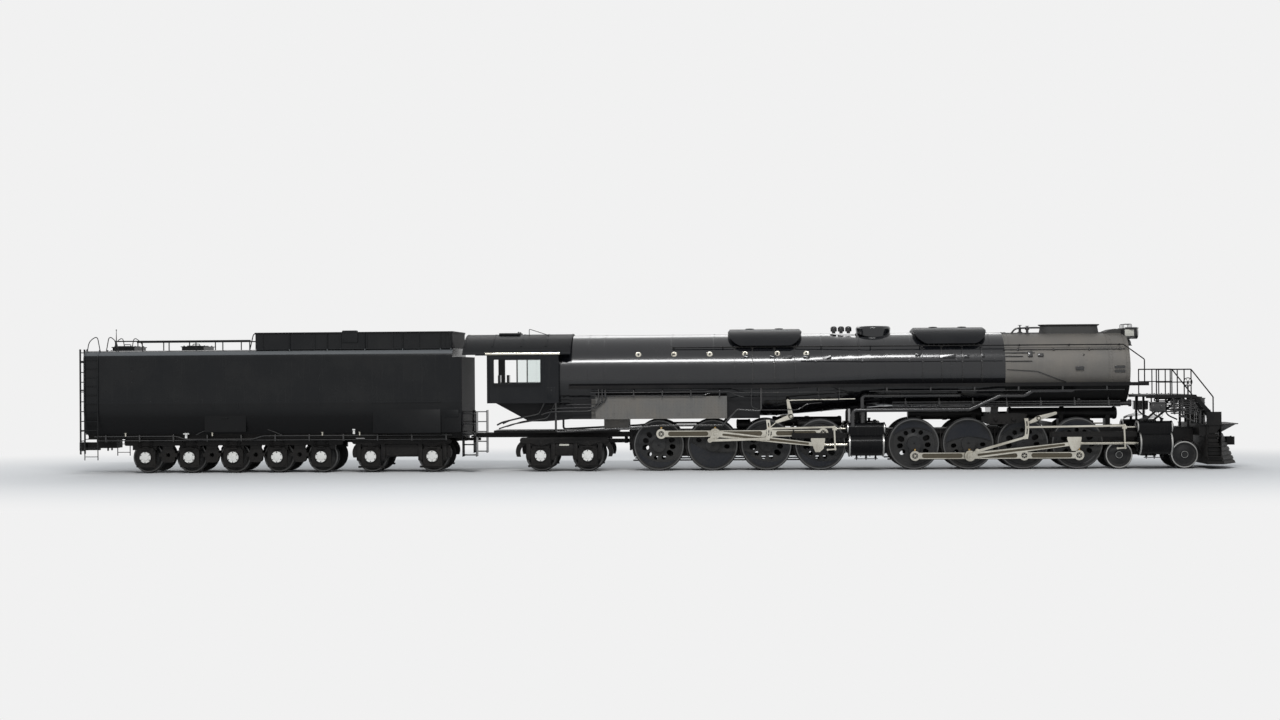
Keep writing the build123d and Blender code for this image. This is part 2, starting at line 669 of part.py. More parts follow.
def boiler_solids(grow):
    front = bar_x(0, front_course_z, front_course_radius + grow, taper_front_x, smokebox_back_x)
    taper = loft([round_at(taper_back_x, firebox_radius, grow),
                  round_at(taper_front_x, front_course_radius, grow)], ruled=True)
    back = bar_x(0, firebox_course_z, firebox_radius + grow, firebox_back_x, taper_back_x)
    smokebox = bar_x(0, smokebox_z, smokebox_radius + grow, smokebox_back_x, smokebox_front_x)
    return [front, taper, back, smokebox]


def smokebox_door():
    # A shallow dished door on a flat ring, with a hinge strap across it.
    z = smokebox_z
    radius = 760
    edge = 40
    bulge = 100
    ball = (radius**2 + bulge**2) / (2 * bulge)
    dish = bar_x(0, 0, radius, 0, edge + bulge) & (Pos(edge + bulge - ball, 0, 0) * Sphere(ball))
    return Pos(smokebox_front_x, 0, z) * dish


def stack():
    # A long casing round two chimneys, with a rolled rim.
    x = stack_x
    neck_z = stack_top_z - 63
    rim_z = stack_top_z - 22
    low = Plane.XY.offset(boiler_top_z - 238) * Pos(x, 0) * SlotOverall(2110, 840)
    high = Plane.XY.offset(neck_z) * Pos(x, 0) * SlotOverall(1960, 660)
    body = loft([low, high], ruled=True)
    lip_low = Plane.XY.offset(neck_z) * Pos(x, 0) * SlotOverall(1960, 660)
    lip_high = Plane.XY.offset(rim_z) * Pos(x, 0) * SlotOverall(2100, 800)
    lip = loft([lip_low, lip_high], ruled=True)
    rim = flat_plate(Pos(x, 0) * SlotOverall(2100, 800), rim_z, stack_top_z)
    bores = [bar_z(x + offset, 0, 265, boiler_top_z - 118, stack_top_z + 1) for offset in (-480, 480)]
    casing = fuse([body, lip, rim]) - bores
    return casing - bar_x(0, smokebox_z, smokebox_radius + seat_gap, x - 1200, x + 1200)


def front_cowl_block(grow):
    back, front = smokebox_front_x - 737 - grow, smokebox_front_x - 57 + grow
    low, top = boiler_top_z - 218, boiler_top_z + 82 + grow
    side = make_face([
        Line((back, low), (front, low)),
        Line((front, low), (front, top - 35)),
        Line((front, top - 35), (front - 250, top)),
        ThreePointArc((front - 250, top), (front - 470, top - 40), (back, top - 160)),
        Line((back, top - 160), (back, low)),
    ])
    return side_plate(side, -430 - grow, 430 + grow)


def front_cowl():
    # The humped cover on top of the smokebox between the stack and the lamps.
    room = bar_x(0, smokebox_z, smokebox_radius + seat_gap, smokebox_back_x, smokebox_front_x)
    return front_cowl_block(0) - room


def sand_box(x0, x1, radius, height, low_z):
    # A boat-shaped saddle over the boiler: long at the deck and short at the keel.
    z = boiler_top_z - radius
    top_z = boiler_top_z + height
    sleeve = bar_x(0, z, radius + height, x0, x1) - bar_x(0, z, radius + seat_gap, x0 - 1, x1 + 1)
    keel = sand_box_keel
    shoulder = top_z - sand_box_shoulder
    bow = (low_z + shoulder) / 2 - 40
    side = make_face([
        Line((x0 + keel, low_z), (x1 - keel, low_z)),
        ThreePointArc((x1 - keel, low_z), (x1 - keel * 0.32, bow), (x1, shoulder)),
        Line((x1, shoulder), (x1 - 70, top_z)),
        Line((x1 - 70, top_z), (x0 + 70, top_z)),
        Line((x0 + 70, top_z), (x0, shoulder)),
        ThreePointArc((x0, shoulder), (x0 + keel * 0.32, bow), (x0 + keel, low_z)),
    ])
    saddle = sleeve & side_plate(side, -radius - height, radius + height)
    lids = [revolve_lid(x, boiler_top_z + height - 3) for x in (x0 + (x1 - x0) * 0.3, x0 + (x1 - x0) * 0.7)]
    return fuse([saddle] + lids)


def revolve_lid(x, z):
    # A low round filler lid with a rolled edge.
    lid = revolve(Plane.XZ * outline((0, -20), (150, -20), (150, 14), (132, 26), (0, 34)), axis=Axis.Z)
    return Pos(x, 0, z) * lid


def steam_dome():
    # A flat round cap with a rolled shoulder.
    low, top = -418, 264
    cap = revolve(
        Plane.XZ * make_face([
            Line((0, low), (560, low)), Line((560, low), (605, top - 122)),
            ThreePointArc((605, top - 122), (580, top - 47), (500, top - 16)),
            Line((500, top - 16), (0, top)),
            Line((0, top), (0, low)),
        ]), axis=Axis.Z)
    return Pos(steam_dome_x, 0, boiler_top_z) * cap - boiler_room()


def safety_valves():
    room = boiler_room()
    return [revolve_post(safety_valve_x + safety_valve_spacing * i, 0, boiler_top_z - 18) - room
            for i in range(3)]


def revolve_post(x, y, z):
    # A short neck with a round muffled head.
    post = revolve(Plane.XZ * make_face([
        Line((0, 0), (60, 0)), Line((60, 0), (60, 75)), Line((60, 75), (112, 90)),
        Line((112, 90), (112, 190)),
        ThreePointArc((112, 190), (90, 248), (36, 272)), Line((36, 272), (0, 272)), Line((0, 272), (0, 0)),
    ]), axis=Axis.Z)
    return Pos(x, y, z) * post


def firebox():
    # Side sheets and ashpan under the rear of the boiler, clear of the drivers.
    low, deep = firebox_low_z, bed_top_z + seat_gap
    back = firebox_back_x
    wide, narrow = firebox_half_width, firebox_half_width - 215
    hopper_half = 980
    body = box(back + 910, back + 5420, -wide, wide, low, firebox_top_z)
    core = box(back + 90, back + 6550, -narrow, narrow, low, firebox_course_z - 98)
    pan = box(back + 1150, back + 2010, -560, 560, deep, low + 5)
    hopper_top = cab_floor_z - seat_gap
    hopper_side = outline(
        (cab_back_x + 212, hopper_top), (back + 80, hopper_top), (back + 80, low), (backhead_x, low - 78),
        (backhead_x - 560, low - 78),
    )
    hopper = side_plate(hopper_side, -hopper_half, hopper_half)
    throat = box(back + 50, back + 150, -hopper_half, hopper_half, low, hopper_top)
    return fuse([body, core, pan, hopper, throat]) - boiler_room() - [backhead_room()]


def backhead_room():
    return bar_x(0, boiler_top_z - 40 - backhead_radius, backhead_radius + seat_gap, backhead_x - seat_gap,
                 firebox_back_x)


def backhead():
    # The boiler's rear end in the cab, with its fire door, gauges and throttle.
    z = boiler_top_z - 40 - backhead_radius
    x = backhead_x
    drum = bar_x(0, z, backhead_radius, x, firebox_back_x - seat_gap)
    fittings = [
        bar_x(0, z - 440, 300, x - 40, x + 1),
        box(x - 60, x - 30, -24, 24, z - 730, z - 150),
        box(x - 90, x + 1, -420, -360, z - 480, z - 400),
        bar_x(0, z + 560, 150, x - 80, x + 1),
        bar_x(-420, z + 480, 100, x - 70, x + 1),
        bar_x(420, z + 480, 100, x - 70, x + 1),
        bar_x(-760, z + 230, 85, x - 70, x + 1),
        bar_x(760, z + 230, 85, x - 70, x + 1),
        bar_z(x - 60, -560, 28, z - 200, z + 260),
        bar_z(x - 60, 560, 28, z - 200, z + 260),
        box(x - 60, x + 1, -580, -540, z - 190, z - 160),
        box(x - 60, x + 1, -580, -540, z + 220, z + 250),
        box(x - 60, x + 1, 540, 580, z - 190, z - 160),
        box(x - 60, x + 1, 540, 580, z + 220, z + 250),
        bar_y(x - 100, z + 20, 24, -1080, -700),
        box(x - 120, x + 1, -740, -700, z, z + 40),
    ]
    return fuse([drum] + fittings)


def running_boards():
    inner_y, outer_y = running_board_outer_y - 650, running_board_outer_y
    top, low = running_board_z, running_board_z - running_board_depth
    sheet = box(firebox_back_x, running_board_front_x, inner_y, outer_y, low, top)
    lip = box(firebox_back_x, running_board_front_x, outer_y - 12, outer_y, low - 70, low + 1)
    edge = box(smokebox_front_x, running_board_front_x + 1, inner_y - 10, inner_y + 220, low - 5, top + 5)
    brackets = []
    for i in range(board_bracket_count):
        x = firebox_back_x + 450 + board_bracket_spacing * i
        web = outline(
            (outer_y - 850, low - 105), (outer_y - 850, low + 0.5), (outer_y - 20, low + 0.5),
            (outer_y - 20, low - 35), (outer_y - 300, low - 105),
        )
        brackets.append(cross_plate(web, x, x + 25))
    whole = fuse([sheet - edge, lip, handrail()] + brackets)
    return both_sides(whole - boiler_room() - firebox_room())


def firebox_room():
    wide = firebox_half_width - 215 + seat_gap
    return box(firebox_back_x, firebox_back_x + 6600, -wide, wide, firebox_low_z, firebox_course_z)


# Cab

def roof_arc(half_width, eave_z, top_z):
    return ThreePointArc((-half_width, eave_z), (0, top_z), (half_width, eave_z))


def cab_section(inset):
    half = cab_half_width - inset
    eave = cab_eave_z - inset * 0.2
    return make_face([
        Line((half, eave), (half, cab_floor_z)), Line((half, cab_floor_z), (-half, cab_floor_z)),
        Line((-half, cab_floor_z), (-half, eave)),
        roof_arc(half, eave, cab_roof_top_z - cab_roof_thickness - inset),
    ])


def cab():
    # Side walls with framed windows, the front wall round the boiler and the floor.
    outside = cross_plate(cab_section(seat_gap), cab_back_x, cab_front_x)
    inside = cross_plate(cab_section(cab_wall), cab_back_x - 1, cab_front_x - cab_wall)
    walls = outside - inside - backhead_room()
    inner_half = cab_half_width - cab_wall
    floor = box(cab_back_x, cab_front_x - cab_wall - 1, -cab_half_width + 5, cab_half_width - 5,
                cab_floor_z, cab_floor_z + cab_wall)
    window = box(cab_window_x[0], cab_window_x[1], -2000, 2000, cab_window_z[0], cab_window_z[1])
    roof_lift = box(cab_back_x - 5, cab_front_x - cab_wall, -inner_half, inner_half, cab_eave_z - 60,
                    boiler_top_z + 300)
    front_windows = [box(cab_front_x - cab_wall - 1, cab_front_x + 1, y0, y1, *front_window_z)
                     for y0, y1 in front_window_y]
    shell = fuse([walls, floor - backhead_room()]) - window - roof_lift - front_windows
    trim = both_sides(fuse([window_frame(), window_post(), cab_post()]))
    return fuse([shell] + trim + both_sides(cab_seat()) + [boiler_collar()])


def window_frame():
    # A raised rim round the side window.
    x0, x1 = cab_window_x
    z0, z1 = cab_window_z
    wide = 42
    rim = box(x0 - wide, x1 + wide, cab_half_width - 5, cab_half_width + 14, z0 - wide, z1 + wide)
    sill = box(x0 - wide, x1 + wide, cab_half_width - 5, cab_half_width + 60, z0 - wide, z0 - wide + 24)
    return fuse([rim, sill]) - box(x0, x1, 0, 2000, z0, z1)


def window_post():
    x = (cab_window_x[0] + cab_window_x[1]) / 2
    return box(x - 22, x + 22, cab_half_width - 40, cab_half_width - 4, cab_window_z[0] - 1,
               cab_window_z[1] + 1)


def cab_post():
    # A handrail at the rear corner of the cab side.
    x = cab_back_x + 60
    y = cab_half_width + 55
    low, high = cab_floor_z + 75, cab_window_z[1] + 20
    rail = bar_z(x, y, 17, low, high)
    feet = [box(x - 20, x + 20, cab_half_width - 5, y, z, z + 26) for z in (low + 40, high - 66)]
    return fuse([rail] + feet)


def cab_seat():
    # A padded box seat against the side wall.
    back, front = cab_back_x + 420, cab_back_x + 1020
    inner_y, outer_y = cab_half_width - 560, cab_half_width - cab_wall + 1
    floor_z = cab_floor_z + cab_wall - 1
    base = box(back, front, inner_y, outer_y, floor_z, floor_z + 430)
    pad = box(back - 10, front + 10, inner_y - 10, outer_y, floor_z + 429, floor_z + 520)
    rest = box(back - 60, back + 20, inner_y + 40, outer_y - 100, floor_z + 500, floor_z + 900)
    return fuse([base, pad, rest])


def boiler_collar():
    # The angle ring where the cab front meets the backhead's jacket.
    z = boiler_top_z - 40 - backhead_radius
    ring = bar_x(0, z, backhead_radius + 50, cab_front_x - 1, cab_front_x + 30)
    ring -= bar_x(0, z, backhead_radius + seat_gap, cab_front_x - 2, cab_front_x + 31)
    keep = box(cab_front_x - 2, cab_front_x + 31, -cab_half_width + 40, cab_half_width - 40,
               cab_floor_z + 10, cab_roof_top_z - 110)
    return ring & keep


def cab_roof():
    top = cab_roof_top_z
    section = make_face([
        roof_arc(cab_half_width + 20, cab_eave_z - 10, top),
        Line((cab_half_width + 20, cab_eave_z - 10), (cab_half_width + 20, cab_eave_z - 40)),
        Line((cab_half_width + 20, cab_eave_z - 40), (cab_half_width, cab_eave_z - 40)),
        Line((cab_half_width, cab_eave_z - 40), (cab_half_width, cab_eave_z)),
        roof_arc(cab_half_width, cab_eave_z, top - cab_roof_thickness),
        Line((-cab_half_width, cab_eave_z), (-cab_half_width, cab_eave_z - 40)),
        Line((-cab_half_width, cab_eave_z - 40), (-cab_half_width - 20, cab_eave_z - 40)),
        Line((-cab_half_width - 20, cab_eave_z - 40), (-cab_half_width - 20, cab_eave_z - 10)),
    ])
    return cross_plate(section, cab_roof_back_x, cab_roof_front_x) - boiler_room()


def cab_glass():
    # One pane a side, in the front half of the window.
    x0 = (cab_window_x[0] + cab_window_x[1]) / 2 + 22 + seat_gap
    pane = box(x0, cab_window_x[1] - seat_gap, cab_half_width - 35, cab_half_width - 27,
               cab_window_z[0] + seat_gap, cab_window_z[1] - seat_gap)
    return both_sides(pane)


# Pipes along the boiler

def bent_pipe(points, radius, bend):
    path = FilletPolyline(*points, radius=bend)
    section = Plane(origin=path @ 0, z_dir=path % 0) * Circle(radius)
    return sweep(section, path=path)


def steam_pipes():
    # Live steam to the rear cylinders, the long exhaust run forward and the front exhaust branch.
    radius = 72
    chest_x = rear_cylinder_x[0]
    rear_chest = bar_x(main_rod_y, valve_chest_z, valve_chest_radius + seat_gap, chest_x - 100,
                       rear_cylinder_x[1] + 100)
    live_y = main_rod_y - 10
    live_z = running_board_z - 410
    live = bent_pipe([
        (chest_x + 485, live_y, valve_chest_z + 100), (chest_x + 485, live_y, live_z),
        (chest_x + 3835, live_y, live_z), (chest_x + 3835, 800, live_z),
    ], radius, 110)
    run_y = running_board_outer_y - 260
    low_z, mid_z, top_z = driver_top_z + 291, running_board_z - 430, running_board_z - 270
    run = bent_pipe([
        (chest_x + 145, run_y, valve_chest_z + 60), (chest_x + 145, run_y, low_z),
        (chest_x + 4115, run_y, low_z),
        (chest_x + 5150, run_y, mid_z), (chest_x + 5960, run_y, mid_z), (chest_x + 6265, run_y, top_z),
        (smokebox_front_x - 1906, run_y, top_z), (smokebox_front_x - 1906, 600, top_z),
    ], radius, 150)
    branch_y = 620
    branch_z = smokebox_z - smokebox_radius + 54
    branch_end = smokebox_front_x + 100
    branch = bent_pipe([
        (smokebox_front_x - 1637, branch_y, branch_z + 200), (smokebox_front_x - 1637, branch_y, branch_z),
        (branch_end, branch_y, branch_z),
    ], 85, 100)
    joint = bar_x(branch_y, branch_z, 122, branch_end - 40, branch_end + 40)
    room = boiler_room()
    pieces = [live - rear_chest - room, run - rear_chest - room, fuse([branch, joint]) - room]
    return [copy for piece in pieces + [injector_pipe()] for copy in both_sides(piece)]


def injector_pipe():
    # A thin pipe outside the rear drivers, hung from the cab floor and the running board.
    y = running_board_outer_y - 100
    low = bed_top_z + 175
    return bent_pipe([
        (cab_front_x - 117, y, cab_floor_z - seat_gap), (cab_front_x - 117, y, low - 200),
        (rear_last_x - 870, y, low - 80),
        (rear_last_x + 55, y, low), (rear_main_x + 366, y, low), (rear_main_x + 846, y, low + 530),
        (rear_main_x + 1666, y, low + 480),
        (rear_main_x + 1666, y, running_board_z - running_board_depth - seat_gap),
    ], 38, 90)


def handrail():
    # A rail along the boiler on posts, which drops to the walkway ahead of the smokebox.
    y, z = front_course_radius - 140, boiler_top_z - 463
    start, turn = rear_last_x + 490, smokebox_front_x - 207
    foot_y = running_board_outer_y - 130
    rail = bent_pipe([
        (start, y, z), (turn, y, z), (turn + 630, foot_y, z - 515), (turn + 630, foot_y, running_board_z - 1),
    ], 20, 80)
    post_count = 10
    spacing = (turn - start - 200) / (post_count - 1)
    posts = []
    for i in range(post_count):
        x = start + 60 + i * spacing
        posts += [bar_y(x, z, 15, 800, y), Pos(x, y, z) * Sphere(34)]
    return fuse([rail] + posts)


def headlight():
    # The lamp drum between two number boards under one hood, carried on the cowl's front.
    z = boiler_top_z - 63
    x = smokebox_front_x
    drum = revolve(
        Plane.XY * outline((0, 0), (0, 170), (60, 205), (430, 205), (430, 180), (400, 165), (400, 0)),
        axis=Axis.X)
    drum = Pos(x + 60, 0, z) * drum
    boards = []
    for side in (-1, 1):
        board = Pos(x + 70, side * 380, z) * Rot(0, 0, -22 * side) * Box(430, 330, 290)
        boards.append(board)
    hood = box(x - 20, x + 430, -590, 590, z + 145, z + 175)
    shelf = box(x - 30, x + 330, -560, 560, z - 175, z - 145)
    bracket = [box(x + seat_gap, x + 60, y, y + 60, z - 355, z - 150) for y in (-400, 340)]
    whole = fuse([drum, hood, shelf] + boards + bracket)
    room = bar_x(0, smokebox_z, smokebox_radius + seat_gap, x - 700, x + seat_gap)
    return whole - room - front_cowl_block(seat_gap)


def bell():
    # Bell in its yoke on the smokebox front, under the lamp.
    skirt = revolve(Plane.XZ * make_face([
        Line((0, 230), (45, 230)), ThreePointArc((45, 230), (108, 150), (120, 60)), Line((120, 60), (160, 0)),
        Line((160, 0), (130, 0)), Line((130, 0), (95, 60)), ThreePointArc((95, 60), (82, 140), (30, 195)),
        Line((30, 195), (0, 195)), Line((0, 195), (0, 230)),
    ]), axis=Axis.Z)
    x = smokebox_front_x + 185
    z = boiler_top_z - 503
    yoke_arch = Pos(x, 0, z) * bar_y(0, 235, 22, -190, 190)
    arms = [box(smokebox_front_x + seat_gap, x + 30, y, y + 34, z + 200, z + 262) for y in (-190, 156)]
    return fuse([Pos(x, 0, z) * skirt, yoke_arch] + arms)


# Front end

def front_deck():
    # The deck ahead of the smokebox, with its legs, rails and stairs.
    back, front = deck_x
    half = deck_half_width
    top = deck_z + deck_depth
    plate = box(back, front, -half, half, deck_z, top)
    lip = box(back, front, half - 12, half, deck_z - 70, deck_z + 1)
    leg_low = bed_top_z + seat_gap
    legs = [box(x, x + 70, 500, 560, leg_low, deck_z + 1) for x in (back + 60, front - 130)]
    brace = outline((back + 100, leg_low), (back + 200, leg_low), (front - 200, deck_z + 1),
                    (front - 320, deck_z + 1))
    half_deck = [lip, side_plate(brace, 515, 545), deck_rail_frame(), front_stairs()] + legs
    tie = box(front - 130, front - 60, -510, 510, leg_low + 300, leg_low + 380)
    pieces = [tie, brake_wheel()]
    for piece in half_deck:
        pieces += both_sides(piece)
    return fuse([plate] + pieces)


def deck_rail_frame():
    # Posts with a top and a middle rail, which slopes down beside the stairs.
    y = deck_half_width - 30
    floor_z = deck_z + deck_depth - 1
    rail_z = deck_z + deck_rail_height
    middle_z = (floor_z + rail_z) / 2
    first, last = deck_post_x[0], deck_post_x[-1]
    low_x, low_z = last + 730, deck_z - 40
    posts = [bar_z(x, y, 20, floor_z, rail_z) for x in deck_post_x]
    top = bent_pipe([(first, y, rail_z), (last, y, rail_z), (low_x, y, low_z),
                     (low_x, y, platform_z + seat_gap)], 22, 60)
    middle = bar_x(y, middle_z, 18, first, last)
    corner = Pos(first, y, rail_z) * Sphere(22)
    return fuse(posts + [top, middle, corner])


def front_stairs():
    # Three treads between two sloping cheeks, from the deck down to the platform.
    inner_y, outer_y = stair_y
    x0, x1 = deck_x[1] - 1, deck_x[1] + 760
    top, low = deck_z + deck_depth - 5, platform_z + seat_gap
    cheek = outline((x0, top), (x0, top - 180), (x1 - 90, low), (x1 + 60, low), (x1 + 60, low + 60))
    cheeks = [side_plate(cheek, y, y + 16) for y in (inner_y, outer_y - 16)]
    treads = []
    for i in range(1, 4):
        x = x0 + (x1 - x0) * i / 4
        z = top + (low - top) * i / 4 - 40
        treads.append(box(x - 120, x + 110, inner_y + 1, outer_y - 1, z, z + 24))
    return fuse(cheeks + treads)


def brake_wheel():
    # A hand wheel on a post by the right-hand rail.
    x, y, z = deck_post_x[-1] - 90, -deck_half_width + 90, deck_z + 470
    ring = Pos(x, y, z) * Rot(90, 0, 0) * Torus(140, 15)
    spokes = [Pos(x, y, z) * Rot(0, angle, 0) * Box(270, 12, 16) for angle in (0, 60, 120)]
    post = bar_z(x, y, 26, deck_z + deck_depth - 1, z - 100)
    hub = bar_y(x, z, 34, y - 22, y + 22)
    stem = box(x - 14, x + 14, y + 5, y + 30, z - 110, z)
    return fuse([ring, post, hub, stem] + spokes)


def pilot_plan(nose_x, shoulder_x, back_x, half, flat):
    return outline(
        (back_x, -half), (shoulder_x, -half), (nose_x, -flat), (nose_x, flat), (shoulder_x, half),
        (back_x, half))


def plough(inset):
    # The slanted body of the pilot, wider and further forward at its foot.
    back = front_bed_x + 300
    low, top = plough_z
    foot = Plane.XY.offset(low) * pilot_plan(front_coupler_x - 40 - inset, front_bed_x + 860 - inset, back,
                                             1300 - inset, 380)
    head = Plane.XY.offset(top) * pilot_plan(front_coupler_x - 483 - inset, front_bed_x + 560 - inset, back,
                                             1380 - inset, 330)
    return loft([foot, head], ruled=True)


def pilot():
    # Beam, platform, slatted plough, side steps and the front coupler.
    low, top = plough_z
    beam_x = front_bed_x + seat_gap
    beam = box(beam_x, front_bed_x + 320, -1380, 1380, top - 85, platform_z - platform_depth + 1)
    platform = pilot_plan(platform_front_x, front_bed_x + 800, beam_x, 1450, 760)
    platform = flat_plate(platform, platform_z - platform_depth, platform_z)
    apron = Plane.XY.offset(top - 1) * pilot_plan(front_coupler_x - 490, front_bed_x + 560,
                                                  front_bed_x + 310, 1380, 330)
    apron_top = pilot_plan(platform_front_x - 60, front_bed_x + 780, front_bed_x + 310, 1400, 700)
    apron = loft([apron, Plane.XY.offset(platform_z - platform_depth + 1) * apron_top], ruled=True)
    full = plough(0)
    pitch = (top - low) / plough_slats
    slats = [full & box(front_bed_x, front_coupler_x, -1500, 1500, low + i * pitch, low + (i + 0.68) * pitch)
             for i in range(plough_slats)]
    pocket = box(front_bed_x + 700, front_coupler_x + 1, -270, 270, coupler_z - 240, coupler_z + 240)
    body = fuse([beam, platform, apron, plough(34)] + slats) - pocket
    head = Pos(front_bed_x + 690, 0, 0) * coupler(front_coupler_x - front_bed_x - 690)
    return fuse([body, head] + both_sides(pilot_steps()))


def pilot_steps():
    # Hanging steps under the platform, with a shield standing over them.
    x0, x1 = front_bed_x + 230, front_bed_x + 730
    inner_y, outer_y = 1150, 1440
    low = rail_top_z + 392
    hangers = [box(x, x + 20, inner_y, outer_y, low, platform_z - 1) for x in (x0, x1 - 20)]
    treads = [box(x0, x1, inner_y, outer_y, z, z + 24) for z in (low, low + 350, low + 700)]
    shield = box(x0, x1, outer_y - 22, outer_y, platform_z - 20, platform_z + 415)
    return fuse(hangers + treads + [shield])


def air_pump():
    # A compound pump: steam cylinders over a waist over air cylinders, on the platform.
    low, high = platform_z + seat_gap, deck_z - 40
    waist_low, waist_high = low + 400, low + 520
    pieces = []
    for offset in (-0.5, 0.5):
        y = pump_y + offset * (pump_radius + 40)
        pieces += [
            bar_z(pump_x, y, pump_radius - 40, low + 30, waist_low),
            bar_z(pump_x, y, pump_radius - 70, waist_low - 1, waist_high + 1),
            bar_z(pump_x, y, pump_radius - 55, waist_high, high - 60),
            bar_z(pump_x, y, pump_radius - 25, low, low + 40),
            bar_z(pump_x, y, pump_radius - 25, waist_low - 40, waist_low + 8),
            bar_z(pump_x, y, pump_radius - 35, waist_high - 8, waist_high + 36),
            bar_z(pump_x, y, pump_radius - 35, high - 80, high - 40),
            bar_z(pump_x, y, 50, high - 45, high),
        ]
    return fuse(pieces)


def air_pumps():
    return both_sides(air_pump())


# Trucks

def lead_truck():
    # Plate frames inside the wheels, a bolster under the pivot and guards over the front wheels.
    front, back = lead_axle_x
    z = lead_z
    plate = outline(
        (back - 250, z - 120), (back + 250, z - 120), (back + 430, z + 10), (front - 430, z + 10),
        (front - 250, z - 120), (front + 250, z - 120), (front + 250, z + 130), (front - 330, z + 210),
        (back + 330, z + 210), (back - 250, z + 130),
    )
    plate -= [Pos(x, z) * Circle(small_axle_radius + running_gap) for x in lead_axle_x]
    sides = both_sides(side_plate(plate, bed_inner_y, bed_outer_y))
    cross_y = bed_inner_y + 5
    bolster = box(lead_pivot_x - 250, lead_pivot_x + 250, -cross_y, cross_y, z - 55, z + 155)
    centre = bar_z(lead_pivot_x, 0, 190, z + 150, lead_centre_z[0] - seat_gap)
    return fuse(sides + [bolster, centre] + both_sides(wheel_guard()))


def wheel_guard():
    # A curved strip over the front of the lead wheel, on an arm that rounds the wheel.
    x, z = lead_axle_x[0], lead_z
    inner = lead_tread_radius + flange_depth + 28
    outer = inner + 14
    quadrant = outline((x - 60, z + 60), (x + outer + 1, z + 60), (x + outer + 1, z + outer + 1),
                       (x - 60, z + outer + 1))
    strip = (Pos(x, z) * Circle(outer) - Pos(x, z) * Circle(inner)) & quadrant
    strip = side_plate(strip, wheel_inner_y + 30, wheel_outer_y + 40)
    arm = box(x + 240, x + outer, bed_outer_y - 50, bed_outer_y, z + 40, z + 110)
    turn = box(x + inner, x + outer, bed_outer_y - 50, wheel_outer_y + 40, z + 40, z + 110)
    return fuse([strip, turn, arm])


def journal_box(x, z, y0, y1):
    # An eight-sided box casting with a round cap seat, bored for the journal.
    cut = 95
    half_w, low, high = journal_half_width, z - journal_drop, z + journal_rise
    face = outline(
        (x - half_w, low), (x + half_w, low), (x + half_w, high - cut), (x + half_w - cut, high),
        (x - half_w + cut, high), (x - half_w, high - cut),
    )
    body = side_plate(face, y0, y1)
    ring = bar_y(x, z, journal_ring_radius, y1 - 1, y1 + 22)
    bore = bar_y(x, z, small_axle_radius + running_gap, y0 - 1, y1 + 23)
    return fuse([body, ring]) - bore


def outside_truck(axle_x, z, front_reach, back_reach, top_z, cross):
    # Cast side frames with an arched top bar, pedestal boxes and a spring between them.
    x_front, x_back = axle_x[0] + front_reach, axle_x[1] - back_reach
    middle = sum(axle_x) / 2
    depth = 150
    arch = make_face([
        Line((x_back, z - 40), (x_back + 130, z - 40)),
        ThreePointArc((x_back + 130, z - 40), (x_back + 190, top_z - depth - 110),
                      (x_back + 420, top_z - depth)),
        Line((x_back + 420, top_z - depth), (x_front - 420, top_z - depth)),
        ThreePointArc((x_front - 420, top_z - depth), (x_front - 190, top_z - depth - 110),
                      (x_front - 130, z - 40)),
        Line((x_front - 130, z - 40), (x_front, z - 40)),
        ThreePointArc((x_front, z - 40), (x_front - 70, top_z - 140), (x_front - 330, top_z)),
        Line((x_front - 330, top_z), (x_back + 330, top_z)),
        ThreePointArc((x_back + 330, top_z), (x_back + 70, top_z - 140), (x_back, z - 40)),
    ])
    y0, y1 = truck_side_y
    pedestals = [Pos(x, (z + top_z) / 2) * Rectangle(2 * journal_half_width - 60, top_z - z + 80)
                 for x in axle_x]
    tie = Pos(middle, z + 40) * Rectangle(axle_x[0] - axle_x[1], 110)
    frame = fuse([arch, tie] + pedestals)
    frame -= [Pos(x, z) * Circle(small_axle_radius + running_gap) for x in axle_x]
    boxes = [journal_box(x, z, y1 - 1, y1 + journal_box_depth) for x in axle_x]
    side = fuse([side_plate(frame, y0, y1)] + boxes)
    bolster = box(middle - 200, middle + 200, -y0 - 5, y0 + 5, cross[0], cross[1])
    return both_sides(side) + [bolster]


def trailing_truck():
    front_x, back_x = trailing_axle_x
    low, high = truck_arm_z
    middle_x = (front_x + back_x) / 2
    pieces = outside_truck(trailing_axle_x, small_z, 830, 830, small_z + 569, (small_z + 319, small_z + 539))
    arm_back = middle_x + 150
    arm = outline((arm_back, -420), (arm_back, 420), (trailing_pivot_x, 110), (trailing_pivot_x, -110))
    arm = flat_plate(arm, low, high)
    eye = bar_z(trailing_pivot_x, 0, truck_pin_radius + 60, low, high)
    post = bar_z(middle_x, 0, 180, high + 5, bed_top_z - 245 - seat_gap)
    bridge = box(middle_x - 200, arm_back + 10, -420, 420, low, high + 6)
    pivot_hole = bar_z(trailing_pivot_x, 0, truck_pin_radius + running_gap, low - 60, high + 60)
    return fuse(pieces + [arm, eye, bridge, post]) - pivot_hole


def tender_truck():
    bolster_z = (small_z + 399, small_z + 539)
    pieces = outside_truck(tender_truck_axle_x, small_z, 620, 620, small_z + 549, bolster_z)
    plate = bar_z(tender_truck_pivot_x, 0, 250, bolster_z[1] - 5, tender_frame_z - seat_gap)
    return fuse(pieces + [plate])


# Tender

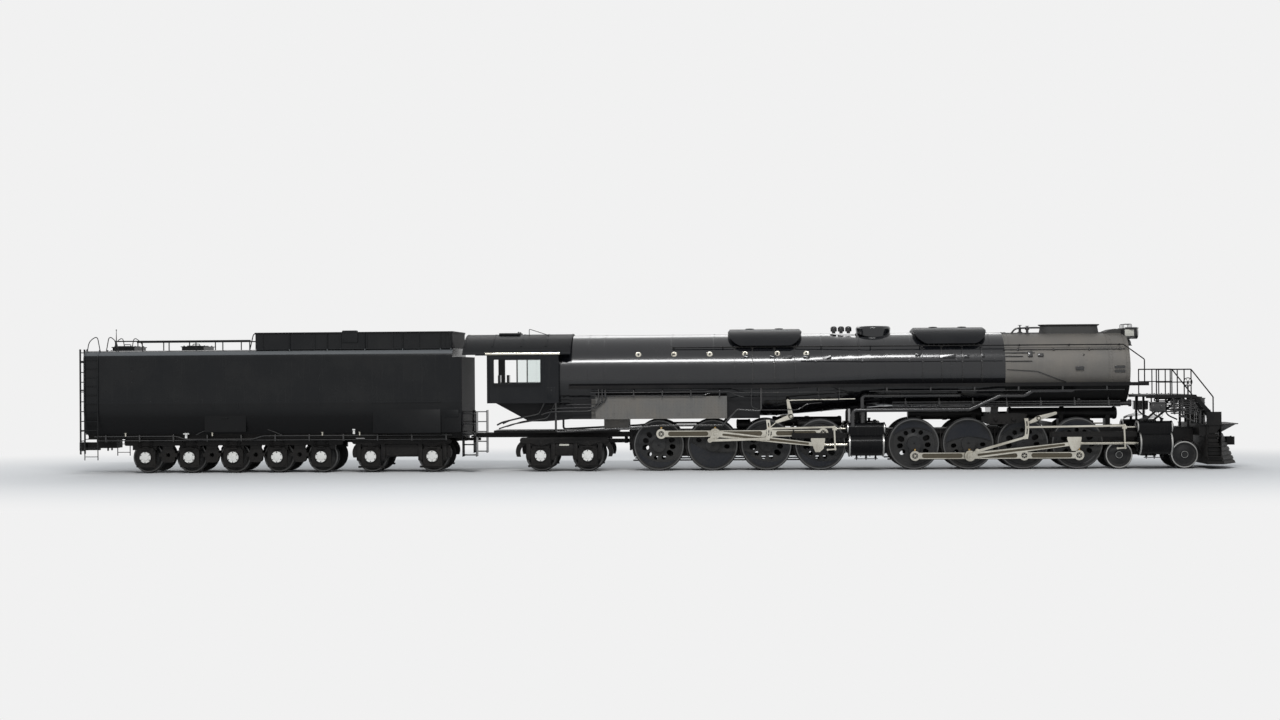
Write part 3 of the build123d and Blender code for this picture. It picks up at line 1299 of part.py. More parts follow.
def tender_section():
    half = tender_half_width
    top = tender_top_z
    low_half = tender_bottom_half_width
    r = tender_corner_radius
    bow_y = (half + low_half) / 2 + 62
    bow_z = (tender_turn_z + tender_bottom_z) / 2 - 40
    k = r * (1 - sqrt(0.5))
    return make_face([
        Line((-low_half, tender_bottom_z), (low_half, tender_bottom_z)),
        ThreePointArc((low_half, tender_bottom_z), (bow_y, bow_z), (half, tender_turn_z)),
        Line((half, tender_turn_z), (half, top - r)),
        ThreePointArc((half, top - r), (half - k, top - k), (half - r, top)),
        Line((half - r, top), (-half + r, top)),
        ThreePointArc((-half + r, top), (-half + k, top - k), (-half, top - r)),
        Line((-half, top - r), (-half, tender_turn_z)),
        ThreePointArc((-half, tender_turn_z), (-bow_y, bow_z), (-low_half, tender_bottom_z)),
    ])


def bunker_pit():
    # The fuel space: upright sides with a floor that slopes down to the front.
    back, front = bunker_x[0] + 60, bunker_x[1] - 60
    y = bunker_half_width - 60
    floor_z = tender_turn_z - 150
    pit = outline(
        (back, tender_top_z + 200), (front, tender_top_z + 200), (front - 140, floor_z),
        (tender_front_x - 2984, floor_z), (back, tender_top_z - 88),
    )
    return side_plate(pit, -y, y)


def tender_tank():
    # The water tank, with its front shoulder cut down to pass under the cab roof.
    tank = cross_plate(tender_section(), tender_back_x, tender_front_x)
    lip = box(bunker_x[1] + 10, tender_front_x + 1, -tender_half_width - 1, tender_half_width + 1,
              tender_top_z - 298, tender_top_z + 1)
    return tank - bunker_pit() - lip


def tender_fittings():
    # Tool box on each side, filler hatches, deck rails, rear ladders and front steps.
    box_low, box_high = tender_bottom_z + 82, tender_bottom_z + 1022
    x0, x1 = tool_box_x
    outer_y = tender_half_width - 25
    chest = box(x0, x1, outer_y - 350, outer_y, box_low, box_high)
    chest -= cross_plate(tender_section(), x0 - 1, x1 + 1)
    lid = box(x0 - 25, x1 + 25, outer_y - 40, outer_y + 25, box_high - 20, box_high + 80)
    lid -= cross_plate(tender_section(), x0 - 30, x1 + 30)
    pieces = both_sides(fuse([chest, lid]))
    for x in filler_x:
        rim = box(x - 390, x + 390, -620, 620, tender_top_z + seat_gap, tender_top_z + 120)
        hatch = box(x - 420, x + 420, -650, 650, tender_top_z + 119, tender_top_z + 150)
        pieces.append(fuse([rim, hatch]))
    return pieces + both_sides(deck_rail()) + both_sides(rear_ladder()) + both_sides(front_steps())


def deck_rail():
    # A low rail on posts along the water deck.
    y = tender_half_width - 445
    base, rail_z = tender_top_z + seat_gap, tender_top_z + 330
    x0, x1 = tender_back_x + 950, bunker_x[0] - 250
    rail = bar_x(y, rail_z, 22, x0, x1)
    post_count = 6
    post_spacing = (x1 - x0 - 60) / (post_count - 1)
    posts = [bar_z(x0 + 30 + i * post_spacing, y, 20, base, rail_z) for i in range(post_count)]
    return fuse([rail] + posts)


def rear_ladder():
    # Two stiles with round rungs that stand off the rear corner, from the deck to the steps.
    inner_y, outer_y = tender_half_width - 475, tender_half_width - 65
    x = tender_back_x - 130
    low, high = rail_top_z + 672, tender_top_z + 60
    stile = 16
    stiles = [box(x - 30, x + 30, y, y + stile, low, high) for y in (inner_y, outer_y)]
    rung_count = 11
    rung_spacing = (high - low - 240) / (rung_count - 1)
    rungs = [bar_y(x, low + 120 + i * rung_spacing, 16, inner_y, outer_y + stile) for i in range(rung_count)]
    feet = []
    for z in (tender_bottom_z + 122, tender_turn_z + 450, tender_top_z - 388):
        feet += [box(x, tender_back_x - seat_gap, y, y + stile, z, z + 50) for y in (inner_y, outer_y)]
    return fuse(stiles + rungs + feet)


def front_steps():
    # Treads between two cheeks under the gangway.
    x0, x1 = tender_front_x + seat_gap, tender_front_x + 470
    y0, y1 = tender_half_width - 495, tender_half_width - 25
    low, high = rail_top_z + 532, cab_floor_z - 295
    tread_count = 5
    rise = (high - 70 - low - 40) / (tread_count - 1)
    cheeks = [box(x, x + 22, y0, y1, low, high) for x in (x0, x1)]
    treads = [box(x0, x1, y0, y1, low + 40 + i * rise, low + 66 + i * rise) for i in range(tread_count)]
    return fuse(cheeks + treads)


def coal_bunker():
    # Upright boards on the tank round the fuel space, braced by ribs outside.
    x0, x1 = bunker_x
    y = bunker_half_width
    board = bunker_board
    base = tender_top_z + seat_gap
    rail_z = bunker_top_z - 60
    outer = box(x0, x1, -y, y, base, bunker_top_z)
    inner = box(x0 + board, x1 - board, -y + board, y - board, base - 1, bunker_top_z + 1)
    rail = box(x0 - 18, x1 + 18, -y - 18, y + 18, rail_z, bunker_top_z) - outer
    ribs = []
    rib_count = 8
    rib_spacing = (x1 - x0 - 500) / (rib_count - 1)
    for i in range(rib_count):
        x = x0 + 250 + i * rib_spacing
        ribs += [box(x - 20, x + 20, side, side + 30, base, rail_z) for side in (y, -y - 30)]
    return fuse([outer - inner, rail] + ribs)


def tender_side_bed():
    # The deep bed side: a pedestal lobe at each axle and a drilled web lobe between.
    x_front, x_back = tender_fixed_x[0] + 480, tender_fixed_x[-1] - 480
    band_low, band_high = small_z + 259, tender_frame_z + 5
    lobe_z = small_z + 79
    middle = Pos((x_front + x_back) / 2, (band_low + band_high) / 2)
    pieces = [middle * Rectangle(x_front - x_back, band_high - band_low)]
    cuts = []
    for x in tender_fixed_x:
        pieces.append(Pos(x, lobe_z) * Rectangle(2 * journal_half_width - 60, 620))
        cuts.append(Pos(x, small_z) * Circle(small_axle_radius + running_gap))
    for x in tender_fixed_x[:-1]:
        lobe_x = x - tender_fixed_spacing / 2
        pieces.append(Pos(lobe_x, lobe_z) * RectangleRounded(470, 520, 120))
        cuts.append(Pos(lobe_x, lobe_z) * Circle(78))
        for offset in (-300, 300):
            cuts.append(Pos(lobe_x + offset, band_low + 80) * Circle(120))
        for offset in (-262, 262):
            pieces.append(Pos(lobe_x + offset, lobe_z) * Rectangle(120, 130))
    y0, y1 = bed_side_y
    side = side_plate(fuse(pieces) - cuts, y0, y1)
    boxes = [journal_box(x, small_z, y1 - 1, y1 + journal_box_depth) for x in tender_fixed_x]
    return fuse([side] + boxes)


def tender_frame():
    # Cast water-bottom bed: a channel on each side, the front drag box and the coupler pocket.
    top, low = tender_bottom_z, tender_frame_z
    back, front = tender_back_x + 40, tender_front_x - 20
    half = tender_bed_half_width
    rim, groove = 34, 60
    right_half = [
        (half, low), (half, low + rim), (half - groove, low + rim), (half - groove, top - rim),
        (half, top - rim), (half, top),
    ]
    left_half = [(-y, z) for y, z in reversed(right_half)]
    floor = cross_plate(outline(*right_half, *left_half), back, front)
    lug_low, lug_high = drawbar_z
    lug = box(tender_front_x - 40, drawbar_pin_x, -160, 160, lug_low, lug_high)
    ring = bar_z(drawbar_pin_x, 0, drawbar_pin_radius + 90, lug_low, lug_high)
    drag = box(tender_front_x - 400, front, -400, 400, lug_low, low + 5)
    draft = box(tender_back_x - 20, tender_back_x + 700, -300, 300, coupler_z - 60, low + 2)
    hole = bar_z(drawbar_pin_x, 0, drawbar_pin_radius + running_gap, lug_low - 60, lug_high + 60)
    head = Pos(tender_back_x - 10, 0, 0) * Rot(0, 0, 180) * coupler(tender_back_x - 10 - rear_coupler_x)
    return fuse([floor, lug, ring, drag, draft, head] + both_sides(tender_side_bed())) - hole


def coupler(reach):
    # Shank, head and knuckle in plan, from the origin out to its face at reach.
    z0, z1 = coupler_z - coupler_half_height, coupler_z + coupler_half_height
    head_plan = make_face([
        Line((0, -80), (0, 80)),
        Line((0, 80), (reach - 330, 90)),
        Line((reach - 330, 90), (reach - 250, 190)),
        Line((reach - 250, 190), (reach - 60, 215)),
        Line((reach - 60, 215), (reach - 90, 120)),
        Line((reach - 90, 120), (reach - 210, 60)),
        ThreePointArc((reach - 210, 60), (reach - 195, -30), (reach - 120, -60)),
        Line((reach - 120, -60), (reach, -50)),
        Line((reach, -50), (reach, -130)),
        ThreePointArc((reach, -130), (reach - 25, -165), (reach - 90, -185)),
        Line((reach - 90, -185), (reach - 280, -170)),
        Line((reach - 280, -170), (reach - 340, -80)),
        Line((reach - 340, -80), (0, -80)),
    ])
    head = flat_plate(head_plan, z0, z1)
    pin = bar_z(reach - 130, -120, 30, z1 - 1, z1 + 26)
    return fuse([head, pin])


def main():
    os.makedirs("parts", exist_ok=True)
    main_wheel = driver_wheel(True)
    coupled_wheel = driver_wheel(False)
    engines = (
        # name, axle places, main axle place, right crank angle, cylinder ends
        ("rear", rear_driver_x, rear_main_x, rear_right_crank, rear_cylinder_x),
        ("front", front_driver_x, front_main_x, front_right_crank, front_cylinder_x),
    )
    for name, places, main_x, angle, cylinder in engines:
        for i, x in enumerate(places):
            wheel = main_wheel if i == main_index else coupled_wheel
            write_node(f"{name}_driver_axle_{i + 1}", driver_axle(wheel, x, angle))
        for side, hand in ((-1, "right"), (1, "left")):
            turn = angle if side < 0 else angle + quartering
            write_node(f"{name}_side_rod_{hand}", side_rod(places, turn, side))
            write_node(f"{name}_main_rod_{hand}", main_rod(main_x, turn, side))
            rod_reach = cylinder[0] + 100 - (main_x + main_rod_length - crank_radius)
            write_node(f"{name}_crosshead_{hand}", crosshead(main_x, turn, rod_reach, side))
    write_node("rear_frame", fuse([rear_frame()] + guides(rear_main_x, rear_cylinder_x[0])))
    write_node("front_frame", fuse([front_frame()] + guides(front_main_x, front_cylinder_x[0])))
    write_node("rear_cylinders", rear_cylinders())
    write_node("front_cylinders", *cylinder_casting(*front_cylinder_x, bed_top_z - 15))
    for name, main_x, cylinder in (("rear", rear_main_x, rear_cylinder_x),
                                   ("front", front_main_x, front_cylinder_x)):
        angle = rear_right_crank if name == "rear" else front_right_crank
        write_node(f"{name}_valve_gear", valve_gear(main_x, angle, cylinder[0], -1),
                   valve_gear(main_x, angle + quartering, cylinder[0], 1))
    front, taper, back, smokebox = boiler_solids(0)
    write_node("boiler", fuse([front, taper, back]), boiler_bearer())
    write_node("smokebox", smokebox, smokebox_door())
    write_node("stack", stack(), front_cowl())
    keel_z = boiler_top_z - 388
    front_box = sand_box(front_last_x + 27, front_last_x + 2517, front_course_radius, 180, keel_z)
    rear_box = sand_box(rear_main_x + 556, rear_main_x + 3106, firebox_radius, 170,
                        keel_z - 30) - boiler_room()
    write_node("sandboxes", front_box, rear_box)
    write_node("steam_dome", steam_dome(), *safety_valves())
    write_node("firebox", firebox())
    write_node("backhead", backhead())
    write_node("running_boards", *running_boards())
    write_node("steam_pipes", *steam_pipes())
    write_node("cab", cab())
    write_node("cab_roof", cab_roof())
    write_node("cab_windows", *cab_glass())
    write_node("headlight", headlight(), bell())
    write_node("front_deck", front_deck())
    write_node("pilot", pilot())
    write_node("air_pumps", *air_pumps())
    write_node("lead_truck_frame", lead_truck())
    write_node("trailing_truck_frame", trailing_truck())
    write_node("tender_truck_frame", tender_truck())
    axle_tables = (
        # name, places, height, tread radius, end of the outside journal
        ("lead_axle", lead_axle_x, lead_z, lead_tread_radius, 0),
        ("trailing_axle", trailing_axle_x, small_z, small_tread_radius, truck_side_y[1] + journal_stand_out),
        ("tender_truck_axle", tender_truck_axle_x, small_z, small_tread_radius,
         truck_side_y[1] + journal_stand_out),
        ("tender_axle", tender_fixed_x, small_z, small_tread_radius, bed_side_y[1] + journal_stand_out),
    )
    for name, places, z, tread_radius, journal_y in axle_tables:
        for i, x in enumerate(places):
            write_node(f"{name}_{i + 1}", plain_axle(x, z, tread_radius, journal_y))
    write_node("tender_frame", tender_frame())
    write_node("tender_tank", tender_tank())
    write_node("coal_bunker", coal_bunker())
    write_node("tender_fittings", *tender_fittings())


main()
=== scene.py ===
import bpy
import math
import numpy as np
from mathutils import Matrix


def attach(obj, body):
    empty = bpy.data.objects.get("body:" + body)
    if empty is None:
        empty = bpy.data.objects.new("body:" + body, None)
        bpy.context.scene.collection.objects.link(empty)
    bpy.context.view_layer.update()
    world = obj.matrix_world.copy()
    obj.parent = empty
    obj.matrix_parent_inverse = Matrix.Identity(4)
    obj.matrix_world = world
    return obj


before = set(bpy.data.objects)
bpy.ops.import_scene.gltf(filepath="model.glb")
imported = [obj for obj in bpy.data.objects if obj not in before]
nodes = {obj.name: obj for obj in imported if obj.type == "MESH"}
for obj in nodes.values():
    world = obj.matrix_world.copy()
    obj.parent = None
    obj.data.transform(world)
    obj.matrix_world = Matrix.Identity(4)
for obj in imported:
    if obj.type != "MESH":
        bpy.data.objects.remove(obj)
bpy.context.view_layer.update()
print("frame loaded:", len(nodes), "nodes")

# Places below are the full-size locomotive's, in metres; the part is built at half of that.
halfSize = 0.5

scene = bpy.context.scene
scene.view_settings.view_transform = "Standard"


# Shader nodes

def feed(tree, node, inputs):
    # each input is driven by an output or set to a value
    for key, source in inputs.items():
        if isinstance(source, bpy.types.NodeSocket):
            tree.links.new(source, node.inputs[key])
        else:
            node.inputs[key].default_value = source


def addNode(tree, kind, inputs=None, **settings):
    # makes a shader node with these inputs and settings, and gives its outputs
    node = tree.nodes.new("ShaderNode" + kind)
    for key, value in settings.items():
        setattr(node, key, value)
    feed(tree, node, inputs or {})
    return node.outputs


def combine(tree, operation, first, second, clamp=False):
    return addNode(tree, "Math", {0: first, 1: second}, operation=operation, use_clamp=clamp)["Value"]


def vectorMath(tree, operation, inputs):
    return addNode(tree, "VectorMath", inputs, operation=operation)["Vector"]


def spread(tree, source, low, high, least=0.0, most=1.0, **settings):
    # low to high carried over to least to most, and held at both ends
    inputs = {"Value": source, "From Min": low, "From Max": high, "To Min": least, "To Max": most}
    return addNode(tree, "MapRange", inputs, clamp=True, **settings)["Result"]


def blend(tree, kind, mask, first, second):
    inputs = {"Factor": mask, "A": first, "B": second}
    return addNode(tree, "Mix", inputs, data_type=kind)["Result"]


def noise(tree, vector, scale, detail, roughness=0.5):
    inputs = {"Vector": vector, "Scale": scale, "Detail": detail, "Roughness": roughness}
    return addNode(tree, "TexNoise", inputs)["Fac"]


def bumped(tree, height, strength, distance, **normal):
    inputs = {"Height": height, "Strength": strength, "Distance": distance, **normal}
    return addNode(tree, "Bump", inputs)["Normal"]


def objectPlace(tree):
    return addNode(tree, "TexCoord")["Object"]


def stretched(tree, vector, scale):
    return addNode(tree, "Mapping", {"Vector": vector, "Scale": scale})["Vector"]


def parted(tree, vector):
    return addNode(tree, "SeparateXYZ", {"Vector": vector})


# Camera, floor and light

camera = {"place": (2.581, -61.609, 3.561), "yaw": 2.642, "pitch": 0.263, "roll": -0.407, "viewAngle": 40.0}


def addCamera(look):
    # looks along +Y, turned by yaw, raised by pitch and rolled about its own axis
    yaw, pitch, roll = (math.radians(look[k]) for k in ("yaw", "pitch", "roll"))
    ahead = np.array([-math.sin(yaw) * math.cos(pitch), math.cos(yaw) * math.cos(pitch), math.sin(pitch)])
    level = np.array([math.cos(yaw), math.sin(yaw), 0.0])
    rise = np.cross(level, ahead)
    right = math.cos(roll) * level + math.sin(roll) * rise
    up = -math.sin(roll) * level + math.cos(roll) * rise
    turn = Matrix(np.stack([right, up, -ahead], 1).tolist()).to_4x4()
    data = bpy.data.cameras.new("photoCamera")
    data.sensor_fit = "HORIZONTAL"
    data.angle = math.radians(look["viewAngle"])
    data.clip_end = 1000.0
    view = bpy.data.objects.new("photoCamera", data)
    scene.collection.objects.link(view)
    view.matrix_world = Matrix.Translation([v * halfSize for v in look["place"]]) @ turn
    scene.camera = view


addCamera(camera)

lights = {
    # name: (place, aim, size, watts), round the half-size part
    "keyLight": ((0.6, -20, 19.5), (0, 0, 1.4), (15.0, 2.2), 3600.0),
    "fillLight": ((5, -30, 6), (0, 0, 1.0), (30, 6), 420.0),
    "backLight": ((-4, 15, 13), (0, 0, 1.5), (28, 6), 1100.0),
    "frontLight": ((24, -3, 7), (9, 0, 1.2), (8, 6), 160.0),
    "rearLight": ((-24, 3, 7), (-9, 0, 1.2), (8, 6), 160.0),
}
studio = {"sky": (0.9, 0.95, 1.0, 1), "skyStrength": 0.55, "background": (0.88, 0.88, 0.88, 1),
          "floor": (0.72, 0.72, 0.72, 1), "floorSpan": ((-300, -120), (300, 400)), "floorReach": (13.0, 6.5),
          "fade": (0.75, 1.5)}


def addAreaLight(name, place, aim, size, power):
    data = bpy.data.lights.new(name, "AREA")
    data.shape = "RECTANGLE"
    data.size, data.size_y = size
    data.energy = power
    lamp = bpy.data.objects.new(name, data)
    scene.collection.objects.link(lamp)
    away = np.array(place, float) - np.array(aim, float)
    away /= np.linalg.norm(away)
    side = np.cross([0.0, 0.0, 1.0], away)
    side /= np.linalg.norm(side)
    up = np.cross(away, side)
    lamp.matrix_world = Matrix.Translation(place) @ Matrix(np.stack([side, up, away], 1).tolist()).to_4x4()


for name, look in lights.items():
    addAreaLight(name, *look)
bpy.data.objects["fillLight"].visible_glossy = False


def addWorld(look):
    # a soft sky that lights the object, and the plain background for the camera and for mirrors
    world = bpy.data.worlds.new("studioSky")
    scene.world = world
    world.use_nodes = True
    tree = world.node_tree
    tree.nodes.clear()
    path = addNode(tree, "LightPath")
    seen = addNode(tree, "Background", {"Color": look["background"], "Strength": 1.0})
    lit = addNode(tree, "Background", {"Color": look["sky"], "Strength": look["skyStrength"]})
    direct = combine(tree, "MAXIMUM", path["Is Camera Ray"], path["Is Glossy Ray"])
    direct = combine(tree, "MAXIMUM", direct, path["Is Transmission Ray"])
    mix = addNode(tree, "MixShader", {"Fac": direct, 1: lit["Background"], 2: seen["Background"]})
    addNode(tree, "OutputWorld", {"Surface": mix["Shader"]})


addWorld(studio)


def addFloor(look):
    mesh = bpy.data.meshes.new("floor")
    (x0, y0), (x1, y1) = look["floorSpan"]
    mesh.from_pydata([(x0, y0, 0), (x1, y0, 0), (x1, y1, 0), (x0, y1, 0)], [], [(0, 1, 2, 3)])
    floor = bpy.data.objects.new("floor", mesh)
    scene.collection.objects.link(floor)
    paint = bpy.data.materials.new("floorPaint")
    paint.use_nodes = True
    tree = paint.node_tree
    shader = tree.nodes["Principled BSDF"]
    feed(tree, shader, {"Base Color": look["floor"], "Roughness": 1.0, "Specular IOR Level": 0.0})
    # the floor passes into the plain background away from the object, so no horizon shows
    reachX, reachY = look["floorReach"]
    squeezed = stretched(tree, objectPlace(tree), (1 / reachX, 1 / reachY, 1.0))
    away = addNode(tree, "VectorMath", {0: squeezed}, operation="LENGTH")["Value"]
    fade = spread(tree, away, *look["fade"], interpolation_type="SMOOTHSTEP")
    path = addNode(tree, "LightPath")
    direct = combine(tree, "MAXIMUM", path["Is Camera Ray"], path["Is Glossy Ray"])
    share = combine(tree, "MULTIPLY", direct, fade)
    plain = addNode(tree, "Emission", {"Color": look["background"]})
    mix = addNode(tree, "MixShader", {"Fac": share, 1: shader.outputs["BSDF"], 2: plain["Emission"]})
    feed(tree, tree.nodes["Material Output"], {"Surface": mix["Shader"]})
    mesh.materials.append(paint)


addFloor(studio)
print("camera, light and floor ready")


# Shared shading groups

def newGroup(name, inputs, outputs):
    # an input of three numbers is a vector, of four a colour
    group = bpy.data.node_groups.new(name, "ShaderNodeTree")
    for label, value in inputs.items():
        kind = {3: "NodeSocketVector", 4: "NodeSocketColor"}.get(np.size(value), "NodeSocketFloat")
        socket = group.interface.new_socket(label, in_out="INPUT", socket_type=kind)
        socket.default_value = value
    for label, kind in outputs.items():
        group.interface.new_socket(label, in_out="OUTPUT", socket_type="NodeSocket" + kind)
    return group, group.nodes.new("NodeGroupInput").outputs, group.nodes.new("NodeGroupOutput")


def weatherGroup():
    # broad tone drift, run marks down the sides and dust that gathers low down
    group, given, out = newGroup(
        "weather", {"Paint": (0.02, 0.02, 0.02, 1), "Dust": (0.2, 0.18, 0.15, 1), "Drift": 0.3, "Runs": 0.2,
                    "LowDust": 0.3}, {"Color": "Color", "Mask": "Float"})
    place = objectPlace(group)
    broad = spread(group, noise(group, place, 1.6, 6.0, 0.6), 0.42, 0.7)
    runs = spread(group, noise(group, stretched(group, place, (22.0, 22.0, 1.2)), 1.0, 5.0, 0.65), 0.55, 0.78)
    specks = spread(group, noise(group, place, 34.0, 4.0), 0.3, 0.7)
    low = spread(group, parted(group, place)["Z"], 1.1, 0.05)
    drift = combine(group, "MULTIPLY", broad, given["Drift"])
    streak = combine(group, "MULTIPLY", runs, given["Runs"])
    dust = combine(group, "MULTIPLY", combine(group, "MULTIPLY", low, specks), given["LowDust"])
    mask = combine(group, "ADD", drift, streak, clamp=True)
    mask = combine(group, "ADD", mask, dust, clamp=True)
    colour = blend(group, "RGBA", mask, given["Paint"], given["Dust"])
    feed(group, out, {"Color": colour, "Mask": mask})
    return group


def grainGroup():
    # fine cast or rolled texture over a slow ripple, as one bumped normal
    group, given, out = newGroup(
        "metalGrain", {"Fine": 160.0, "FineDepth": 0.1, "Broad": 5.0, "BroadDepth": 0.1},
        {"Normal": "Vector"})
    place = objectPlace(group)
    fine = bumped(group, noise(group, place, given["Fine"], 3.0), given["FineDepth"], 0.004)
    ripple = noise(group, place, given["Broad"], 2.0)
    feed(group, out, {"Normal": bumped(group, ripple, given["BroadDepth"], 0.02, Normal=fine)})
    return group


def zoneGroup():
    # 1 between Low and High on x, |y| and z, and falling to 0 over Soft beyond them
    group, given, out = newGroup(
        "zone", {"Low": (0, 0, 0), "High": (1, 1, 1), "Soft": 0.01}, {"Mask": "Float"})
    axes = parted(group, objectPlace(group))
    across = addNode(group, "Math", {0: axes["Y"]}, operation="ABSOLUTE")["Value"]
    place = addNode(group, "CombineXYZ", {"X": axes["X"], "Y": across, "Z": axes["Z"]})["Vector"]
    sharp = combine(group, "DIVIDE", 1.0, given["Soft"])
    inside = []
    for first, second in ((place, given["Low"]), (given["High"], place)):
        past = vectorMath(group, "SUBTRACT", {0: first, 1: second})
        past = vectorMath(group, "SCALE", {0: past, "Scale": sharp})
        past = vectorMath(group, "ADD", {0: past, 1: (1, 1, 1)})
        for part in parted(group, past):
            inside.append(addNode(group, "Clamp", {"Value": part})["Result"])
    whole = inside[0]
    for value in inside[1:]:
        whole = combine(group, "MULTIPLY", whole, value)
    feed(group, out, {"Mask": whole})
    return group


weather = weatherGroup()
metalGrain = grainGroup()
zone = zoneGroup()

# Finishes

paints = {
    # name: (tone, dust, (drift, runs, low dust), (least, most roughness),
    #        (fine grain, depth), (ripple, depth), gloss)
    "jacket_black": ((0.0045, 0.005, 0.0068), (0.02, 0.02, 0.021), (0.2, 0.14, 0.0), (0.24, 0.45),
                     (240, 0.05), (2.4, 0.22), {"specular": 0.1, "coat": 1.0, "coatRoughness": 0.125}),
    "box_black": ((0.0045, 0.005, 0.0065), (0.02, 0.02, 0.021), (0.25, 0.2, 0.0), (0.42, 0.6),
                  (240, 0.05), (2.4, 0.22), {"specular": 0.12, "coat": 0.06}),
    "smokebox_graphite": ((0.135, 0.128, 0.118), (0.2, 0.18, 0.155), (0.5, 0.4, 0.0), (0.42, 0.75),
                          (190, 0.25), (4.0, 0.2), {"specular": 0.3, "metallic": 0.25}),
    "firebox_grey": ((0.125, 0.122, 0.116), (0.17, 0.15, 0.125), (0.5, 0.5, 0.5), (0.5, 0.85),
                     (170, 0.3), (6.0, 0.25), {"specular": 0.25}),
    "cab_black": ((0.006, 0.0068, 0.0085), (0.028, 0.028, 0.027), (0.25, 0.25, 0.1), (0.16, 0.32),
                  (220, 0.05), (3.2, 0.12), {"specular": 0.18, "coat": 0.05}),
    "tender_black": ((0.0075, 0.0082, 0.0092), (0.03, 0.029, 0.027), (0.22, 0.16, 0.25), (0.24, 0.6),
                     (220, 0.08), (2.6, 0.22), {"specular": 0.14, "coat": 0.08}),
    "frame_black": ((0.0055, 0.0055, 0.006), (0.029, 0.026, 0.023), (0.35, 0.3, 0.55), (0.4, 0.85),
                    (150, 0.35), (7.0, 0.3), {"specular": 0.15}),
    "wheel_grey": ((0.0135, 0.0143, 0.016), (0.045, 0.042, 0.037), (0.35, 0.15, 0.4), (0.35, 0.75),
                   (160, 0.3), (8.0, 0.25), {"specular": 0.25}),
    "pipe_black": ((0.012, 0.012, 0.013), (0.06, 0.055, 0.05), (0.35, 0.3, 0.2), (0.2, 0.5),
                   (200, 0.12), (6.0, 0.1), {"coat": 0.3}),
    "cylinder_black": ((0.003, 0.0032, 0.004), (0.02, 0.019, 0.017), (0.2, 0.25, 0.15), (0.24, 0.5),
                       (200, 0.12), (5.0, 0.12), {"specular": 0.08, "coat": 0.04}),
    "lamp_metal": ((0.015, 0.015, 0.016), (0.06, 0.058, 0.055), (0.25, 0.2, 0.0), (0.3, 0.6),
                   (200, 0.15), (6.0, 0.1), {}),
    "journalWhite": ((0.8, 0.8, 0.78), (0.42, 0.38, 0.32), (0.25, 0.1, 0.2), (0.4, 0.7),
                     (180, 0.15), (9.0, 0.15), {}),
    "boardCream": ((0.55, 0.54, 0.48), (0.3, 0.28, 0.24), (0.3, 0.3, 0.0), (0.3, 0.5),
                   (200, 0.05), (6.0, 0.05), {}),
    "dialFace": ((0.75, 0.75, 0.72), (0.5, 0.48, 0.42), (0.2, 0.1, 0.0), (0.25, 0.4),
                 (200, 0.02), (6.0, 0.02), {}),
    "brassFitting": ((0.55, 0.36, 0.14), (0.22, 0.15, 0.08), (0.5, 0.2, 0.0), (0.22, 0.55),
                     (200, 0.1), (8.0, 0.1), {"metallic": 1.0}),
    "weightBlue": ((0.006, 0.008, 0.013), (0.04, 0.038, 0.036), (0.25, 0.1, 0.3), (0.3, 0.6),
                   (170, 0.2), (8.0, 0.15), {"specular": 0.25}),
    "valveRed": ((0.35, 0.02, 0.015), (0.2, 0.1, 0.08), (0.3, 0.1, 0.0), (0.3, 0.5),
                 (200, 0.05), (6.0, 0.05), {}),
    "coal": ((0.006, 0.006, 0.007), (0.03, 0.028, 0.026), (0.5, 0.1, 0.0), (0.5, 0.9),
             (90, 0.6), (14.0, 0.6), {"specular": 0.15}),
}
# painted shade for the jacket's lower side, under the boiler
paintedUnderShade = (0.002, 0.002, 0.003)
# painted shadow of the running board on the smokebox below it
paintedBoardShadow = (0.006, 0.006, 0.006)
ashpanBlack = (0.009, 0.009, 0.01)
# painted shade for the tender's front faces
paintedEndShade = (0.005, 0.005, 0.006)
# painted shade for the floors of the rods' flutes
paintedFluteShade = (0.1, 0.088, 0.066)
zones = {
    # another tone and roughness between two full-size corners on x, |y| and z: (low, high, soft edge, tone,
    # roughness); several are painted shade or a painted highlight, as noted
    # painted shade: the jacket darker below 3 m, on the boiler's underside
    "jacket_black": [((-20, 0, 0), (20, 3, 3.0), 0.25, paintedUnderShade, 0.5)],
    # painted shadow of the running board on the smokebox below 2.95 m; the second zone is a darker tone on
    # the top of the stack
    "smokebox_graphite": [((10, 0, 0), (20, 3, 2.95), 0.05, paintedBoardShadow, 0.8),
                          ((10, 0, 4.66), (20, 3, 6), 0.04, (0.05, 0.049, 0.047), 0.7)],
    "firebox_grey": [((-20, 0, 0), (-1.9, 3, 4), 0.02, ashpanBlack, 0.6),
                     ((2.78, 0, 0), (20, 3, 4), 0.02, ashpanBlack, 0.6)],
    # painted shade: the cab roof darker, and rougher so it shows less reflection
    "cab_black": [((-8, 0, 4.16), (-2.5, 3, 6), 0.1, (0.004, 0.0045, 0.0055), 0.62)],
    # painted shade: the tender darker under the tank, inside the sides and below 2.42 m
    "tender_black": [((-19.42, 0, 0), (-6.4, 1.59, 2.42), 0.06, (0.0025, 0.0026, 0.003), 0.6),
                     # painted shade on the tender's front end face
                     ((-6.33, 0, 0), (-6.2, 3, 6), 0.01, paintedEndShade, 0.95),
                     # painted highlight: a lighter band along the tank's rounded top edge
                     ((-19.45, 1.5, 4.13), (-6.36, 3, 4.275), 0.03, (0.115, 0.121, 0.126), 0.35),
                     # painted shade on the bunker's front face
                     ((-6.67, 0, 4.3), (-6.6, 3, 6), 0.01, paintedEndShade, 0.95)],
    # painted shade in the flutes of the side rods and main rods
    "rod_steel": [((-10, 1.019, 0), (20, 1.027, 3), 0.002, paintedFluteShade, 0.5),
                  ((-10, 1.152, 0), (20, 1.160, 3), 0.002, paintedFluteShade, 0.5)],
}
